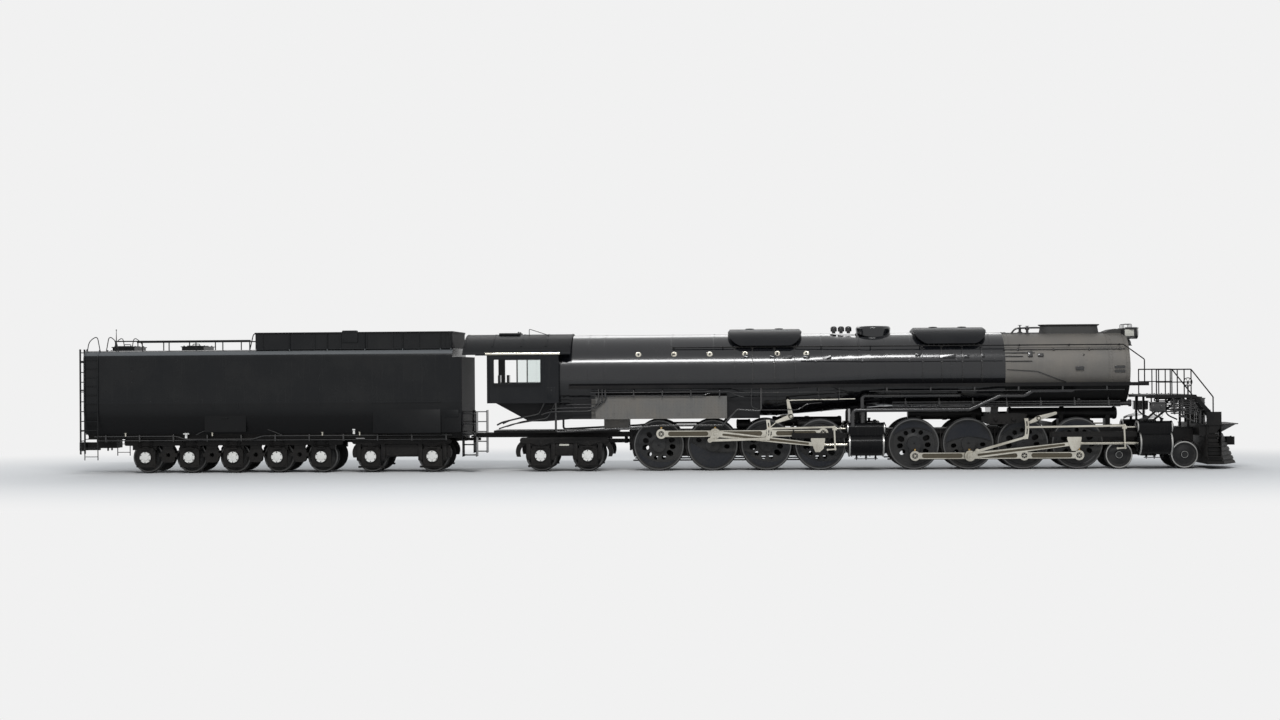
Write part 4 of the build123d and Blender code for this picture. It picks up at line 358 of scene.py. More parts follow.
steels = {
    # bright, oily, (least, most roughness)
    "rod_steel": ((0.62, 0.6, 0.53), (0.16, 0.13, 0.09), (0.2, 0.48)),
    "treadSteel": ((0.46, 0.46, 0.45), (0.16, 0.15, 0.13), (0.25, 0.5)),
    "wornSteel": ((0.13, 0.13, 0.13), (0.05, 0.047, 0.042), (0.35, 0.6)),
}
glasses = {"window_glass": ((0.86, 0.9, 0.89), (0.01, 0.05)), "lampGlass": ((0.95, 0.97, 1.0), (0.01, 0.06))}
glossSockets = {"specular": "Specular IOR Level", "coat": "Coat Weight", "coatRoughness": "Coat Roughness",
                "metallic": "Metallic"}


def newMaterial(name):
    material = bpy.data.materials.new(name)
    material.use_nodes = True
    return material, material.node_tree, material.node_tree.nodes["Principled BSDF"]


def weathered(tree, name, tone, dust, wear, roughness):
    # colour and roughness from the weather group, then the finish's zones over them, painted shade and a
    # painted highlight among them
    drift, runs, lowDust = wear
    inputs = {"Paint": (*tone, 1), "Dust": (*dust, 1), "Drift": drift, "Runs": runs, "LowDust": lowDust}
    skin = addNode(tree, "Group", inputs, node_tree=weather)
    colour, rough = skin["Color"], spread(tree, skin["Mask"], 0.0, 1.0, *roughness)
    for low, high, soft, paint, dull in zones.get(name, ()):
        corners = {"Low": [v * halfSize for v in low], "High": [v * halfSize for v in high]}
        mask = addNode(tree, "Group", {**corners, "Soft": soft * halfSize}, node_tree=zone)["Mask"]
        colour = blend(tree, "RGBA", mask, colour, (*paint, 1))
        rough = blend(tree, "FLOAT", mask, rough, dull)
    return {"Base Color": colour, "Roughness": rough}


def paintedMetal(name, tone, dust, wear, roughness, fine, ripple, gloss):
    material, tree, shader = newMaterial(name)
    grain = {"Fine": fine[0], "FineDepth": fine[1], "Broad": ripple[0], "BroadDepth": ripple[1]}
    grain = addNode(tree, "Group", grain, node_tree=metalGrain)["Normal"]
    feed(tree, shader, weathered(tree, name, tone, dust, wear, roughness))
    feed(tree, shader, {"Normal": grain, "Coat Roughness": 0.08})
    feed(tree, shader, {glossSockets[label]: value for label, value in gloss.items()})
    return material


def brightSteel(name, bright, oily, roughness):
    # machined steel: lengthwise polish marks, with a film of oil in patches
    material, tree, shader = newMaterial(name)
    marks = noise(tree, stretched(tree, objectPlace(tree), (3.0, 90.0, 240.0)), 1.0, 3.0)
    feed(tree, shader, weathered(tree, name, bright, oily, (0.45, 0.2, 0.25), roughness))
    feed(tree, shader, {"Normal": bumped(tree, marks, 0.12, 0.002), "Metallic": 1.0})
    return material


def clearGlass(name, tint, roughness):
    material, tree, shader = newMaterial(name)
    smear = noise(tree, objectPlace(tree), 7.0, 4.0)
    feed(tree, shader, {"Roughness": spread(tree, smear, 0.0, 1.0, *roughness), "Base Color": (*tint, 1),
                        "Transmission Weight": 1.0, "IOR": 1.45})
    return material


finishes = {}
for maker, looks in ((paintedMetal, paints), (brightSteel, steels), (clearGlass, glasses)):
    finishes.update({name: maker(name, *look) for name, look in looks.items()})

for name, node in nodes.items():
    for place in node.material_slots:
        slotName = place.material.name.split(".")[0] if place.material else ""
        if slotName in finishes:
            place.material = finishes["box_black" if name == "sandboxes" else slotName]
print("finishes ready:", len(finishes))


# Surfaces worked out as arrays

toRight, toFront, toBack, toTop = (0, -1, 0), (1, 0, 0), (-1, 0, 0), (0, 0, 1)


def gridFaces(rows, columns, closeRows=False, closeColumns=False):
    # the quads of a rows x columns grid of points, wrapping round where it closes
    spans = np.arange(rows - (not closeRows)), np.arange(columns - (not closeColumns))
    a, b = np.meshgrid(*spans, indexing="ij")
    c, d = (a + 1) % rows, (b + 1) % columns
    quads = [a * columns + b, a * columns + d, c * columns + d, c * columns + b]
    return np.stack(quads, -1).reshape(-1, 4).tolist()


def endCaps(count, sides):
    # the first and last ring of a closed sweep of count points
    return [list(range(sides))[::-1], list(range(count - sides, count))]


def lathed(profile, sides):
    # rows (height, radius) from the foot up; point = (r cos t, r sin t, h); no radius is a single point
    angle = np.arange(sides) * 2 * np.pi / sides
    step, after = np.arange(sides), (np.arange(sides) + 1) % sides
    points, faces, rings, count = [], [], [], 0
    for h, r in profile:
        rings.append((count, r > 1e-9))
        turn = angle if r > 1e-9 else angle[:1]
        points.append(np.stack([r * np.cos(turn), r * np.sin(turn), np.full(len(turn), h)], 1))
        count += len(turn)
    for (low, lowRing), (high, highRing) in zip(rings[:-1], rings[1:]):
        if lowRing and highRing:
            faces += np.stack([low + step, low + after, high + after, high + step], 1).tolist()
        elif lowRing:
            faces += np.stack([low + step, low + after, np.full(sides, high)], 1).tolist()
        elif highRing:
            faces += np.stack([np.full(sides, low), high + after, high + step], 1).tolist()
    return np.concatenate(points), faces


def copied(shape, places, outward=toRight, size=1.0):
    # the shape at each place, its own height along that place's outward direction
    points, faces = shape
    places = np.atleast_2d(np.asarray(places, float))
    w = np.broadcast_to(np.asarray(outward, float), places.shape)
    w = w / np.linalg.norm(w, axis=1, keepdims=True)
    sideways = np.where(np.abs(w[:, :1]) > 0.9, [[0.0, 1.0, 0.0]] * np.sign(w[:, :1]), [[1.0, 0.0, 0.0]])
    u = sideways - np.sum(sideways * w, 1, keepdims=True) * w
    u /= np.linalg.norm(u, axis=1, keepdims=True)
    axes = np.stack([u, np.cross(w, u), w], 1)
    moved = places[:, None, :] + np.einsum("pk,nkj->npj", points * size, axes)
    shifts = np.arange(len(places)) * len(points)
    return moved.reshape(-1, 3), [[v + s for v in face] for s in shifts for face in faces]


def joined(shapes):
    points, faces, shift = [], [], 0
    for p, f in shapes:
        points.append(np.asarray(p, float))
        faces += [[v + shift for v in face] for face in f]
        shift += len(p)
    return np.concatenate(points), faces


def bothHands(shapes):
    # the shapes and their mirror image across the middle plane, the image's faces turned back
    points, faces = joined(shapes)
    return joined([(points, faces), (points * [1.0, -1.0, 1.0], [face[::-1] for face in faces])])


def swept(path, section, across, closed=False):
    # section rows (a, b) carried along the path: point = path + a across + b up, up = ahead x across
    path, section = np.asarray(path, float), np.asarray(section, float)
    ahead = np.roll(path, -1, 0) - np.roll(path, 1, 0) if closed else np.gradient(path, axis=0)
    up = np.cross(ahead, across)
    up /= np.linalg.norm(up, axis=1, keepdims=True)
    sideways = section[None, :, :1] * np.asarray(across, float)
    points = (path[:, None] + sideways + section[None, :, 1:] * up[:, None]).reshape(-1, 3)
    faces = gridFaces(len(path), len(section), closeRows=closed, closeColumns=True)
    return points, faces if closed else faces + endCaps(len(points), len(section))


def strip(halfWidth, halfThick):
    # a flat bar's section for swept
    return [(a * halfWidth, b * halfThick) for a, b in ((1, -1), (1, 1), (-1, 1), (-1, -1))]


def tube(path, radius, sides=10):
    # a circle carried along the path: point = path + r (cos t e1 + sin t e2)
    path = np.asarray(path, float)
    ahead = np.gradient(path, axis=0)
    ahead /= np.linalg.norm(ahead, axis=1, keepdims=True)
    e1 = np.cross(ahead, [0.317, 0.881, 0.352])
    e1 /= np.linalg.norm(e1, axis=1, keepdims=True)
    e2 = np.cross(ahead, e1)
    t = np.arange(sides) * 2 * np.pi / sides
    ring = np.cos(t)[None, :, None] * e1[:, None] + np.sin(t)[None, :, None] * e2[:, None]
    points = (path[:, None] + radius * ring).reshape(-1, 3)
    return points, gridFaces(len(path), sides, closeColumns=True) + endCaps(len(points), sides)


def rounded(points, reach, steps=6):
    # straight runs whose corners become quadratic curves that start `reach` away from the corner
    p = np.asarray(points, float)
    back, ahead = p[:-2] - p[1:-1], p[2:] - p[1:-1]
    backLength = np.linalg.norm(back, axis=1, keepdims=True)
    aheadLength = np.linalg.norm(ahead, axis=1, keepdims=True)
    take = np.minimum(reach, 0.45 * np.minimum(backLength, aheadLength))
    start, end = p[1:-1] + back / backLength * take, p[1:-1] + ahead / aheadLength * take
    t = np.linspace(0, 1, steps)[None, :, None]
    bends = (1 - t) ** 2 * start[:, None] + 2 * t * (1 - t) * p[1:-1, None] + t**2 * end[:, None]
    return np.concatenate([p[:1], bends.reshape(-1, 3), p[-1:]])


def bent(points, radius, reach=0.12, sides=10):
    return tube(rounded(points, reach), radius, sides)


def roundedCorners(width, height, corner, steps=4):
    # a rectangle's outline with round corners, anticlockwise from its lower right corner
    t = np.radians(np.linspace(0, 90, steps))
    quarter = np.stack([np.cos(t), np.sin(t)], 1) * corner
    rows = []
    for sx, sy, start in ((1, -1, -90), (1, 1, 0), (-1, 1, 90), (-1, -1, 180)):
        a = math.radians(start)
        spun = quarter @ np.array([[math.cos(a), math.sin(a)], [-math.sin(a), math.cos(a)]])
        rows.append(spun + [sx * (width / 2 - corner), sy * (height / 2 - corner)])
    return np.concatenate(rows)


def plate(outline, depth, edge):
    # an outline raised by depth, its rim eased: level rows are (height, share of the outline)
    outline = np.asarray(outline, float)
    middle = outline.mean(0)
    reach = np.linalg.norm(outline - middle, axis=1).max()
    levels = [(0.0, 1.0), (depth - edge, 1.0), (depth - 0.3 * edge, 1 - 0.3 * edge / reach),
              (depth, 1 - edge / reach)]
    n = len(outline)
    points = np.concatenate([np.column_stack([middle + (outline - middle) * share, np.full(n, h)])
                             for h, share in levels])
    return points, gridFaces(len(levels), n, closeColumns=True) + endCaps(len(points), n)


def slabs(size, places, corner=0.02, edge=0.008, outward=toRight):
    # plates of (width, height, depth) with round corners
    width, height, depth = size
    return copied(plate(roundedCorners(width, height, corner), depth, edge), places, outward)


def hoop(centre, radius, width, proud, sides=96):
    # a flat strip bent round the X axis, its outer edges eased
    x, y, z = centre
    t = np.arange(sides) * 2 * np.pi / sides
    path = np.stack([np.full(sides, x), y + radius * np.cos(t), z + radius * np.sin(t)], 1)
    half, ease = width / 2, min(0.4 * proud, 0.2 * width)
    section = [(half, -0.5 * proud), (half, proud - ease), (half - ease, proud), (ease - half, proud),
               (-half, proud - ease), (-half, -0.5 * proud)]
    return swept(path, section, toFront, closed=True)


def alongX(lengths, y, z):
    return [(x, y, z) for x in lengths]


def ringAbout(centre, outward, radius, count, start=0.0):
    # places on a circle round an axis, for bolts and rivets
    t = math.radians(start) + np.arange(count) * 2 * np.pi / count
    flat = np.stack([radius * np.cos(t), radius * np.sin(t), 0 * t], 1)
    return copied((flat, []), centre, outward)[0]


def between(start, end, spacing):
    start, end = np.array(start, float), np.array(end, float)
    count = max(2, int(round(np.linalg.norm(end - start) / spacing)) + 1)
    return start + np.linspace(0, 1, count)[:, None] * (end - start)


rivet = lathed([(-0.3, 0.0), (-0.3, 1.0), (0.3, 0.86), (0.6, 0.5), (0.7, 0.0)], 6)
hexNut = lathed([(-0.3, 0.0), (-0.3, 1.0), (0.62, 1.0), (0.75, 0.82), (0.75, 0.5), (1.0, 0.45),
                 (1.0, 0.0)], 6)


def rivets(places, size, outward=toRight):
    return copied(rivet, places, outward, size)


def nuts(places, size, outward=toRight):
    return copied(hexNut, places, outward, size)


def rivetRow(start, end, spacing, size, outward=toRight):
    return rivets(between(start, end, spacing), size, outward)


def addPiece(name, shapes, body, finish, sharp=35.0):
    points, faces = joined(shapes)
    mesh = bpy.data.meshes.new(name)
    mesh.from_pydata((points * halfSize).tolist(), [], faces)
    mesh.materials.append(finishes[finish])
    mesh.polygons.foreach_set("use_smooth", np.ones(len(mesh.polygons), bool))
    mesh.set_sharp_from_angle(angle=math.radians(sharp))
    mesh.update()
    piece = bpy.data.objects.new(name, mesh)
    scene.collection.objects.link(piece)
    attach(piece, body)
    return piece


def addPair(name, shapes, body, finish):
    # right-hand shapes with their mirror image, as one piece
    return addPiece(name, [bothHands(shapes)], body, finish)


# Boiler jacket

shell = {"top": 4.718, "frontRadius": 1.27, "fireRadius": 1.42, "taper": (4.5, 8.2), "smokeRadius": 1.252,
         "smokeCentre": 3.448, "smokeBack": 12.247, "smokeFront": 16.457}
jacket = {"bands": (-1.98, -1.42, 0.9, 2.35, 4.5, 6.05, 7.3, 8.2, 9.1, 10.42, 11.78), "bandWidth": 0.065,
          "bandProud": 0.007, "screws": 56, "plugs": (-0.26, 0.97, 2.19, 3.4, 4.5, 5.49), "plugHeight": 4.02,
          "rail": [(5.3, 3.75), (8.2, 3.73), (12.15, 3.73)], "railFeet": (5.8, 7.4, 9.0, 10.6, 11.9),
          # steps as (x, width, z)
          "steps": ((3.45, 0.2, 3.93), (4.35, 0.22, 3.92), (4.85, 0.34, 3.9), (5.5, 0.22, 3.9),
                    (6.2, 0.3, 3.88),
                    (9.3, 0.2, 3.95), (10.3, 0.56, 3.88), (10.95, 0.18, 3.88), (11.5, 0.12, 3.9))}
sand = {"pipes": (3.05, 3.65, 4.4, 5.1, 9.45, 10.1, 10.8, 11.45), "top": 4.27, "foot": 3.02,
        "clips": (4.2, 3.7, 3.2), "flanges": ((2.95, 5.25), (9.35, 11.55)), "flangeHeight": 4.285}


def shellRadius(x):
    x = np.asarray(x, float)
    share = np.clip((x - shell["taper"][0]) / (shell["taper"][1] - shell["taper"][0]), 0, 1)
    r = shell["fireRadius"] + share * (shell["frontRadius"] - shell["fireRadius"])
    return np.where(x > shell["smokeBack"], shell["smokeRadius"], r)


def shellCentre(x):
    x = np.asarray(x, float)
    return np.where(x > shell["smokeBack"], shell["smokeCentre"], shell["top"] - shellRadius(x))


def onShell(x, z, stand=0.0):
    # the right-hand side's points at given lengths and heights, `stand` off it, and their outward directions
    x, z = np.broadcast_arrays(np.asarray(x, float), np.asarray(z, float))
    r, dz = shellRadius(x), z - shellCentre(x)
    outward = np.stack([0 * x, -np.sqrt(np.maximum(r * r - dz * dz, 1e-6)), dz], -1)
    outward /= np.linalg.norm(outward, axis=-1, keepdims=True)
    return np.stack([x, 0 * x, shellCentre(x)], -1) + outward * (r + stand)[..., None], outward


def shellSlabs(size, x, z, stand=0.0, corner=0.02, edge=0.008):
    places, outward = onShell(x, z, stand)
    return slabs(size, places, corner, edge, outward)


def shellPipe(points, radius, stand):
    # a pipe that keeps to the shell through the given (x, z) points, all on one side
    xz = np.asarray(points, float)
    length = np.concatenate([[0], np.cumsum(np.linalg.norm(np.diff(xz, axis=0), axis=1))])
    at = np.linspace(0, length[-1], max(8, int(length[-1] / 0.12)))
    path, _ = onShell(np.interp(at, length, xz[:, 0]), np.interp(at, length, xz[:, 1]), stand)
    return tube(path, radius, 8)


bands, screws = [], []
for x in jacket["bands"]:
    centre, r = (x, 0, float(shellCentre(x))), float(shellRadius(x))
    bands.append(hoop(centre, r, jacket["bandWidth"], jacket["bandProud"]))
    places = ringAbout(centre, toFront, r + jacket["bandProud"], jacket["screws"])
    screws.append(rivets(places, 0.009, places - centre))
addPiece("jacketBands", bands, "locomotive", "jacket_black")
addPiece("jacketScrews", screws, "locomotive", "jacket_black")

plugDish = lathed([(-0.02, 0.0), (-0.02, 0.1), (0.012, 0.1), (0.02, 0.09), (0.016, 0.074), (0.004, 0.07),
                   (0.004, 0.0)], 24)
plugHead = lathed([(-0.01, 0.0), (-0.01, 0.04), (0.03, 0.04), (0.035, 0.03), (0.035, 0.0)], 4)
places, outward = onShell(jacket["plugs"], jacket["plugHeight"])
addPair("washoutRings", [copied(plugDish, places, outward)], "locomotive", "rod_steel")
addPair("washoutPlugs", [copied(plugHead, places, outward)], "locomotive", "jacket_black")

shapes = [shellPipe(jacket["rail"], 0.017, 0.028), shellSlabs((0.05, 0.11, 0.05), jacket["railFeet"], 3.745)]
shapes += [shellSlabs((width, 0.12, 0.055), x, z, -0.01, 0.02, 0.012) for x, width, z in jacket["steps"]]
addPair("jacketFittings", shapes, "locomotive", "jacket_black")

shapes = []
for x in sand["pipes"]:
    shapes.append(shellPipe([(x, sand["top"]), (x, sand["foot"])], 0.016, 0.03))
    shapes.append(shellSlabs((0.09, 0.03, 0.05), x, sand["clips"], 0.0, 0.01, 0.006))
for start, end in sand["flanges"]:
    places, outward = onShell(np.arange(start, end, 0.17), sand["flangeHeight"])
    shapes.append(nuts(places, 0.028, outward))
addPair("sandPipes", shapes, "locomotive", "pipe_black")

# Smokebox: rivet rows, the door's ring and hinges, hand holes and fittings

smoke = {"rivetRows": (12.29, 12.40, 15.77, 15.85, 16.36, 16.42), "rivets": 84, "dogs": 24, "faceRivets": 60,
         # bands as (x, width, proud), pipes as (z, length), boxes as (x, z, width, height)
         "bands": ((12.345, 0.2, 0.012), (15.81, 0.16, 0.008), (16.39, 0.13, 0.014)),
         "pipes": ((3.98, 0.95), (3.86, 0.55), (3.70, 0.85)),
         "boxes": ((13.1, 3.93, 0.16, 0.2), (13.45, 3.9, 0.2, 0.12), (14.75, 3.45, 0.28, 0.13),
                   (14.9, 3.9, 0.05, 0.05)),
         "conduit": 4.085, "clips": (12.7, 13.9, 15.1, 16.15), "hinges": (-0.34, 0.34)}
smokeZ, face = shell["smokeCentre"], (shell["smokeFront"], 0, shell["smokeCentre"])
shapes = [hoop((x, 0, smokeZ), shell["smokeRadius"], width, proud) for x, width, proud in smoke["bands"]]
for x in smoke["rivetRows"]:
    places = ringAbout((x, 0, smokeZ), toFront, shell["smokeRadius"] + 0.01, smoke["rivets"])
    shapes.append(rivets(places, 0.018, places - [x, 0, smokeZ]))
doorRing = lathed([(-0.01, 0.8), (0.035, 0.795), (0.045, 0.78), (0.045, 0.752), (-0.01, 0.74)], 96)
shapes += [rivets(ringAbout(face, toFront, 1.17, smoke["faceRivets"]), 0.022, toFront),
           nuts(ringAbout(face, toFront, 0.84, smoke["dogs"], 7.5), 0.042, toFront),
           copied(doorRing, face, toFront)]
for z in (smokeZ + rise for rise in smoke["hinges"]):
    strap = rounded([(16.47, 0.82, z), (16.53, 0.78, z), (16.60, 0.3, z), (16.615, -0.1, z)], 0.12)
    shapes.append(swept(strap, [(0.035, -0.01), (0.035, 0.012), (-0.035, 0.012), (-0.035, -0.01)], toTop))
    shapes.append(tube([(16.51, 0.83, z - 0.09), (16.51, 0.83, z + 0.09)], 0.035, 12))
addPiece("smokeboxTrim", shapes, "locomotive", "smokebox_graphite")

shapes = [shellSlabs((0.36, 0.095, 0.03), 16.1, z, -0.004, 0.03, 0.01) for z in (3.35, 3.49)]
shapes.append(shellPipe([(12.3, 3.42), (13.3, 3.36), (14.3, 3.0)], 0.014, 0.022))
shapes += [shellPipe([(12.25, z), (12.3 + reach, z)], 0.016, 0.03) for z, reach in smoke["pipes"]]
for x, z, width, height in smoke["boxes"]:
    shapes.append(shellSlabs((width, height, 0.06), x, z, -0.005, 0.02, 0.015))
shapes.append(shellPipe([(12.2, smoke["conduit"]), (16.3, smoke["conduit"])], 0.014, 0.035))
shapes.append(shellSlabs((0.05, 0.08, 0.055), smoke["clips"], smoke["conduit"], 0.0, 0.012, 0.008))
addPair("smokeboxFittings", shapes, "locomotive", "pipe_black")

blower = lathed([(-0.05, 0.0), (-0.05, 0.09), (0.02, 0.09), (0.03, 0.05), (0.12, 0.045), (0.13, 0.075),
                 (0.17, 0.075),
                 (0.18, 0.03), (0.24, 0.025), (0.245, 0.07), (0.262, 0.07), (0.265, 0.0)], 20)
run = [(12.6, -0.25, 4.66), (12.75, -0.25, 4.84), (13.3, -0.22, 4.86), (13.62, -0.18, 4.86)]
shapes = [copied(blower, [(12.95, 0, 4.70), (13.15, -0.3, 4.66)], toTop), bent(run, 0.032)]
addPiece("blowerValves", shapes, "locomotive", "pipe_black")
print("boiler and smokebox dressed")


# Firebox, running board pipes and cab

firebox = {"side": -1.395, "ends": (-1.68, 2.72), "rows": np.arange(1.89, 2.56, 0.105),
           "straps": (-0.62, 0.5, 1.62), "plugs": (-1.1, 0.05, 1.1, 2.2)}
side, (back, front) = firebox["side"], firebox["ends"]
shapes = [rivetRow((back, side, z), (front, side, z), 0.12, 0.017) for z in firebox["rows"]]
shapes.append(slabs((0.07, 0.72, 0.01), alongX(firebox["straps"], side + 0.002, 2.2), 0.012, 0.004))
shapes.append(copied(plugDish, alongX(firebox["plugs"], side, 1.98), size=0.5))
addPair("fireboxStays", shapes, "locomotive", "firebox_grey")

boardPipes = (
    # radius, then the run as (x, y, z)
    (0.020, [(-1.9, -1.50, 2.73), (2.9, -1.50, 2.73), (3.1, -1.48, 2.60), (3.35, -1.48, 2.55)]),
    (0.016, [(-1.9, -1.47, 2.62), (2.0, -1.47, 2.62), (2.2, -1.47, 2.70), (6.4, -1.47, 2.70),
             (6.6, -1.30, 2.6), (6.9, -1.2, 2.6)]),
    (0.028, [(-1.50, -1.46, 2.88), (-1.50, -1.46, 2.35), (-1.78, -1.46, 2.22), (-3.1, -1.46, 2.20),
             (-3.4, -1.3, 2.12)]),
    (0.028, [(-1.62, -1.50, 2.88), (-1.62, -1.50, 2.30), (-1.92, -1.50, 2.10), (-3.3, -1.50, 2.08),
             (-3.6, -1.35, 1.98)]),
    (0.022, [(-1.38, -1.44, 2.88), (-1.38, -1.44, 2.42), (-1.66, -1.44, 2.33), (-2.7, -1.44, 2.32),
             (-2.9, -1.3, 2.30)]),
    (0.030, [(-3.5, -1.25, 2.42), (-3.7, -1.25, 2.0), (-4.4, -1.2, 1.86), (-5.0, -1.0, 1.72),
             (-5.2, -0.8, 1.62)]),
    (0.024, [(-3.1, -1.35, 2.42), (-3.4, -1.35, 1.86), (-4.6, -1.25, 1.66), (-5.1, -1.1, 1.5)]),
    (0.016, [(3.6, -1.42, 2.86), (3.6, -1.42, 2.2), (3.9, -1.42, 2.1), (5.2, -1.42, 2.1), (5.5, -1.36, 2.3),
             (6.0, -1.3, 2.34)]),
    (0.014, [(5.9, -1.40, 2.86), (5.9, -1.40, 2.42), (6.6, -1.40, 2.42), (6.6, -1.40, 2.86)]),
    (0.016, [(7.6, -1.50, 2.72), (16.2, -1.50, 2.72)]),
)
shapes = [bent(run, radius) for radius, run in boardPipes]
for size, y, z, places in (((0.04, 0.24, 0.05), -1.45, 2.675, np.arange(-1.4, 2.6, 0.98)),
                           ((0.05, 0.2, 0.05), -1.47, 2.8, np.arange(8.2, 16.3, 1.48))):
    shapes.append(slabs(size, alongX(places, y, z), 0.012))
addPair("boardPipes", shapes, "locomotive", "pipe_black")

cab = {"back": -5.452, "front": -2.983, "side": -1.6, "floor": 2.445, "eave": 4.09, "roofTop": 4.768,
       "roofHalf": 1.62, "roofBands": (-6.26, -5.3, -4.3, -3.45, -2.61), "door": (-3.24, -1.598, 2.72)}
low, high = cab["floor"] + 0.045, cab["eave"] - 0.06
back, front = cab["back"] + 0.13, cab["front"] - 0.13
rear, fore = cab["back"] + 0.05, cab["front"] - 0.05
# rows of rivets, each from (x, z) to (x, z)
rows = ((rear, low, rear, high), (fore, low, fore, high), (back, low, front, low), (back, high, front, high),
        (-3.46, low + 0.1, -3.46, high - 0.1), (back, 2.93, -3.54, 2.93))
shapes = [rivetRow((x0, cab["side"], z0), (x1, cab["side"], z1), 0.08, 0.0105) for x0, z0, x1, z1 in rows]
shapes.append(slabs((0.3, 0.4, 0.014), cab["door"], 0.02, 0.006))
shapes.append(slabs((0.09, 0.22, 0.03), cab["door"], 0.03, 0.01))
addPair("cabRivets", shapes, "locomotive", "cab_black")

gutterSection = [(-0.028, -0.04), (0.03, -0.04), (0.04, -0.02), (0.04, 0.02), (0.026, 0.035), (-0.028, 0.035)]
gutterPath = alongX(np.linspace(-5.5, -2.93, 24), -1.625, 4.075)
addPair("cabGutter", [swept(gutterPath, gutterSection, toRight)], "locomotive", "rod_steel")
addPair("cabSill", [slabs((1.62, 0.05, 0.09), (-4.41, -1.60, 3.055), 0.02, 0.015)], "locomotive", "cab_black")


def roofArc(x, reach=36, count=40):
    # the upper part of the roof's arc, whose radius is (rise^2 + half^2) / (2 rise)
    rise, half = cab["roofTop"] - cab["eave"], cab["roofHalf"]
    r = (rise**2 + half**2) / (2 * rise)
    t = np.radians(np.linspace(90 - reach, 90 + reach, count))
    return np.stack([np.full(count, x), r * np.cos(t), cab["roofTop"] - r + r * np.sin(t)], 1)


shapes = [swept(roofArc(x), strip(0.03, 0.008), toFront) for x in cab["roofBands"]]
shapes += [slabs((0.75, 0.9, 0.07), (-4.8, 0, 4.745), 0.06, 0.02, toTop),
           nuts([(-4.5, -0.3, 4.83), (-4.5, 0.3, 4.83)], 0.03, toTop),
           bent([(-4.1, -0.5, 4.7), (-4.1, -0.5, 4.95), (-3.4, -0.5, 4.72)], 0.012, 0.05, 8)]
addPiece("roofTrim", shapes, "locomotive", "cab_black")

gauges = {"x": -3.53, "needle": 0.55, "tail": 0.3,
          # dials as (y, z, radius)
          "dials": ((-0.45, 3.95, 0.12), (-0.15, 4.05, 0.1), (0.12, 4.05, 0.1), (0.42, 3.95, 0.12),
                    (-0.75, 3.72, 0.08), (0.72, 3.72, 0.08)),
          "wheels": [(-3.66, -0.62, 3.35), (-3.66, -0.9, 3.1), (-3.66, 0.62, 3.35), (-3.66, 0.9, 3.1),
                     (-3.66, 0.3, 3.62)], "wheelRadius": 0.085}
dialRim = lathed([(-0.04, 0.0), (-0.04, 1.0), (0.2, 1.0), (0.24, 0.94), (0.2, 0.88), (0.2, 0.0)], 28)
dialDisc = lathed([(0.18, 0.0), (0.18, 0.9), (0.22, 0.88), (0.22, 0.0)], 28)
rims, discs, needles = [], [], []
for y, z, size in gauges["dials"]:
    rims.append(copied(dialRim, (gauges["x"], y, z), toBack, size))
    discs.append(copied(dialDisc, (gauges["x"], y, z), toBack, size))
    # each needle points its own way: the angle is 7 z + y
    tip = gauges["needle"] * size * np.array([0, math.cos(7 * z + y), math.sin(7 * z + y)])
    centre = np.array([gauges["x"] - 0.235 * size, y, z])
    needles.append(tube([centre - gauges["tail"] * tip, centre + tip], 0.004, 6))
t = np.linspace(0, 2 * np.pi, 25)
circle = gauges["wheelRadius"] * np.stack([np.cos(t), np.sin(t), 0 * t], 1)
spoke = 0.08
handWheel = joined([tube(circle, 0.011, 8), tube([(-spoke, 0, 0), (spoke, 0, 0)], 0.008, 6),
                    tube([(0, -spoke, 0), (0, spoke, 0)], 0.008, 6),
                    tube([(0, 0, -0.12), (0, 0, 0.02)], 0.012, 8)])
addPiece("gaugeRims", rims, "locomotive", "brassFitting")
addPiece("gaugeFaces", discs, "locomotive", "dialFace")
addPiece("gaugeNeedles", needles, "locomotive", "cab_black")
addPiece("handWheels", [copied(handWheel, gauges["wheels"], toBack)], "locomotive", "valveRed")
print("firebox and cab dressed")


# Tender

tender = {"back": -19.499, "front": -6.316, "side": -1.625, "rivets": 0.095, "rivetSize": 0.0115}
back, side, spacing, size = tender["back"], tender["side"], tender["rivets"], tender["rivetSize"]
ends = (back + 0.07, tender["front"] - 0.07)
shapes = [rivetRow((ends[0], side, z), (ends[1], side, z), spacing, size) for z in (2.53, 3.92)]
shapes += [rivetRow((x, side, 2.62), (x, side, 3.84), spacing, size) for x in np.linspace(*ends, 9)]
shapes = [bothHands(shapes)]
shapes += [rivetRow((back, -1.3, z), (back, 1.3, z), spacing, size, toBack) for z in (1.46, 2.5, 3.9)]
shapes += [rivetRow((back, y, 1.52), (back, y, 3.84), spacing, size, toBack)
           for y in (-1.3, -0.43, 0.43, 1.3)]
addPiece("tenderRivets", shapes, "tender", "tender_black")

shapes = [slabs((2.34, 1.06, 0.25), (-8.22, -1.37, 1.915), 0.03, 0.012),
          slabs((0.69, 1.0, 0.235), (-6.69, -1.37, 1.9), 0.03, 0.012),
          slabs((2.4, 0.05, 0.28), (-8.22, -1.37, 2.455), 0.02, 0.01),
          slabs((0.5, 0.28, 0.016), (-6.68, -1.603, 2.06)),
          rivets([(x, -1.62, z) for x in np.arange(-9.25, -7.1, 0.33) for z in (1.45, 2.37)], 0.012),
          rivets([(x, -1.62, z) for x in (-8.86, -8.2, -7.54) for z in (1.72, 1.95)], 0.016),
          rivets([(x, -1.617, z) for z in (1.95, 2.17) for x in (-6.9, -6.46)], 0.014)]
addPair("tenderLockers", shapes, "tender", "tender_black")

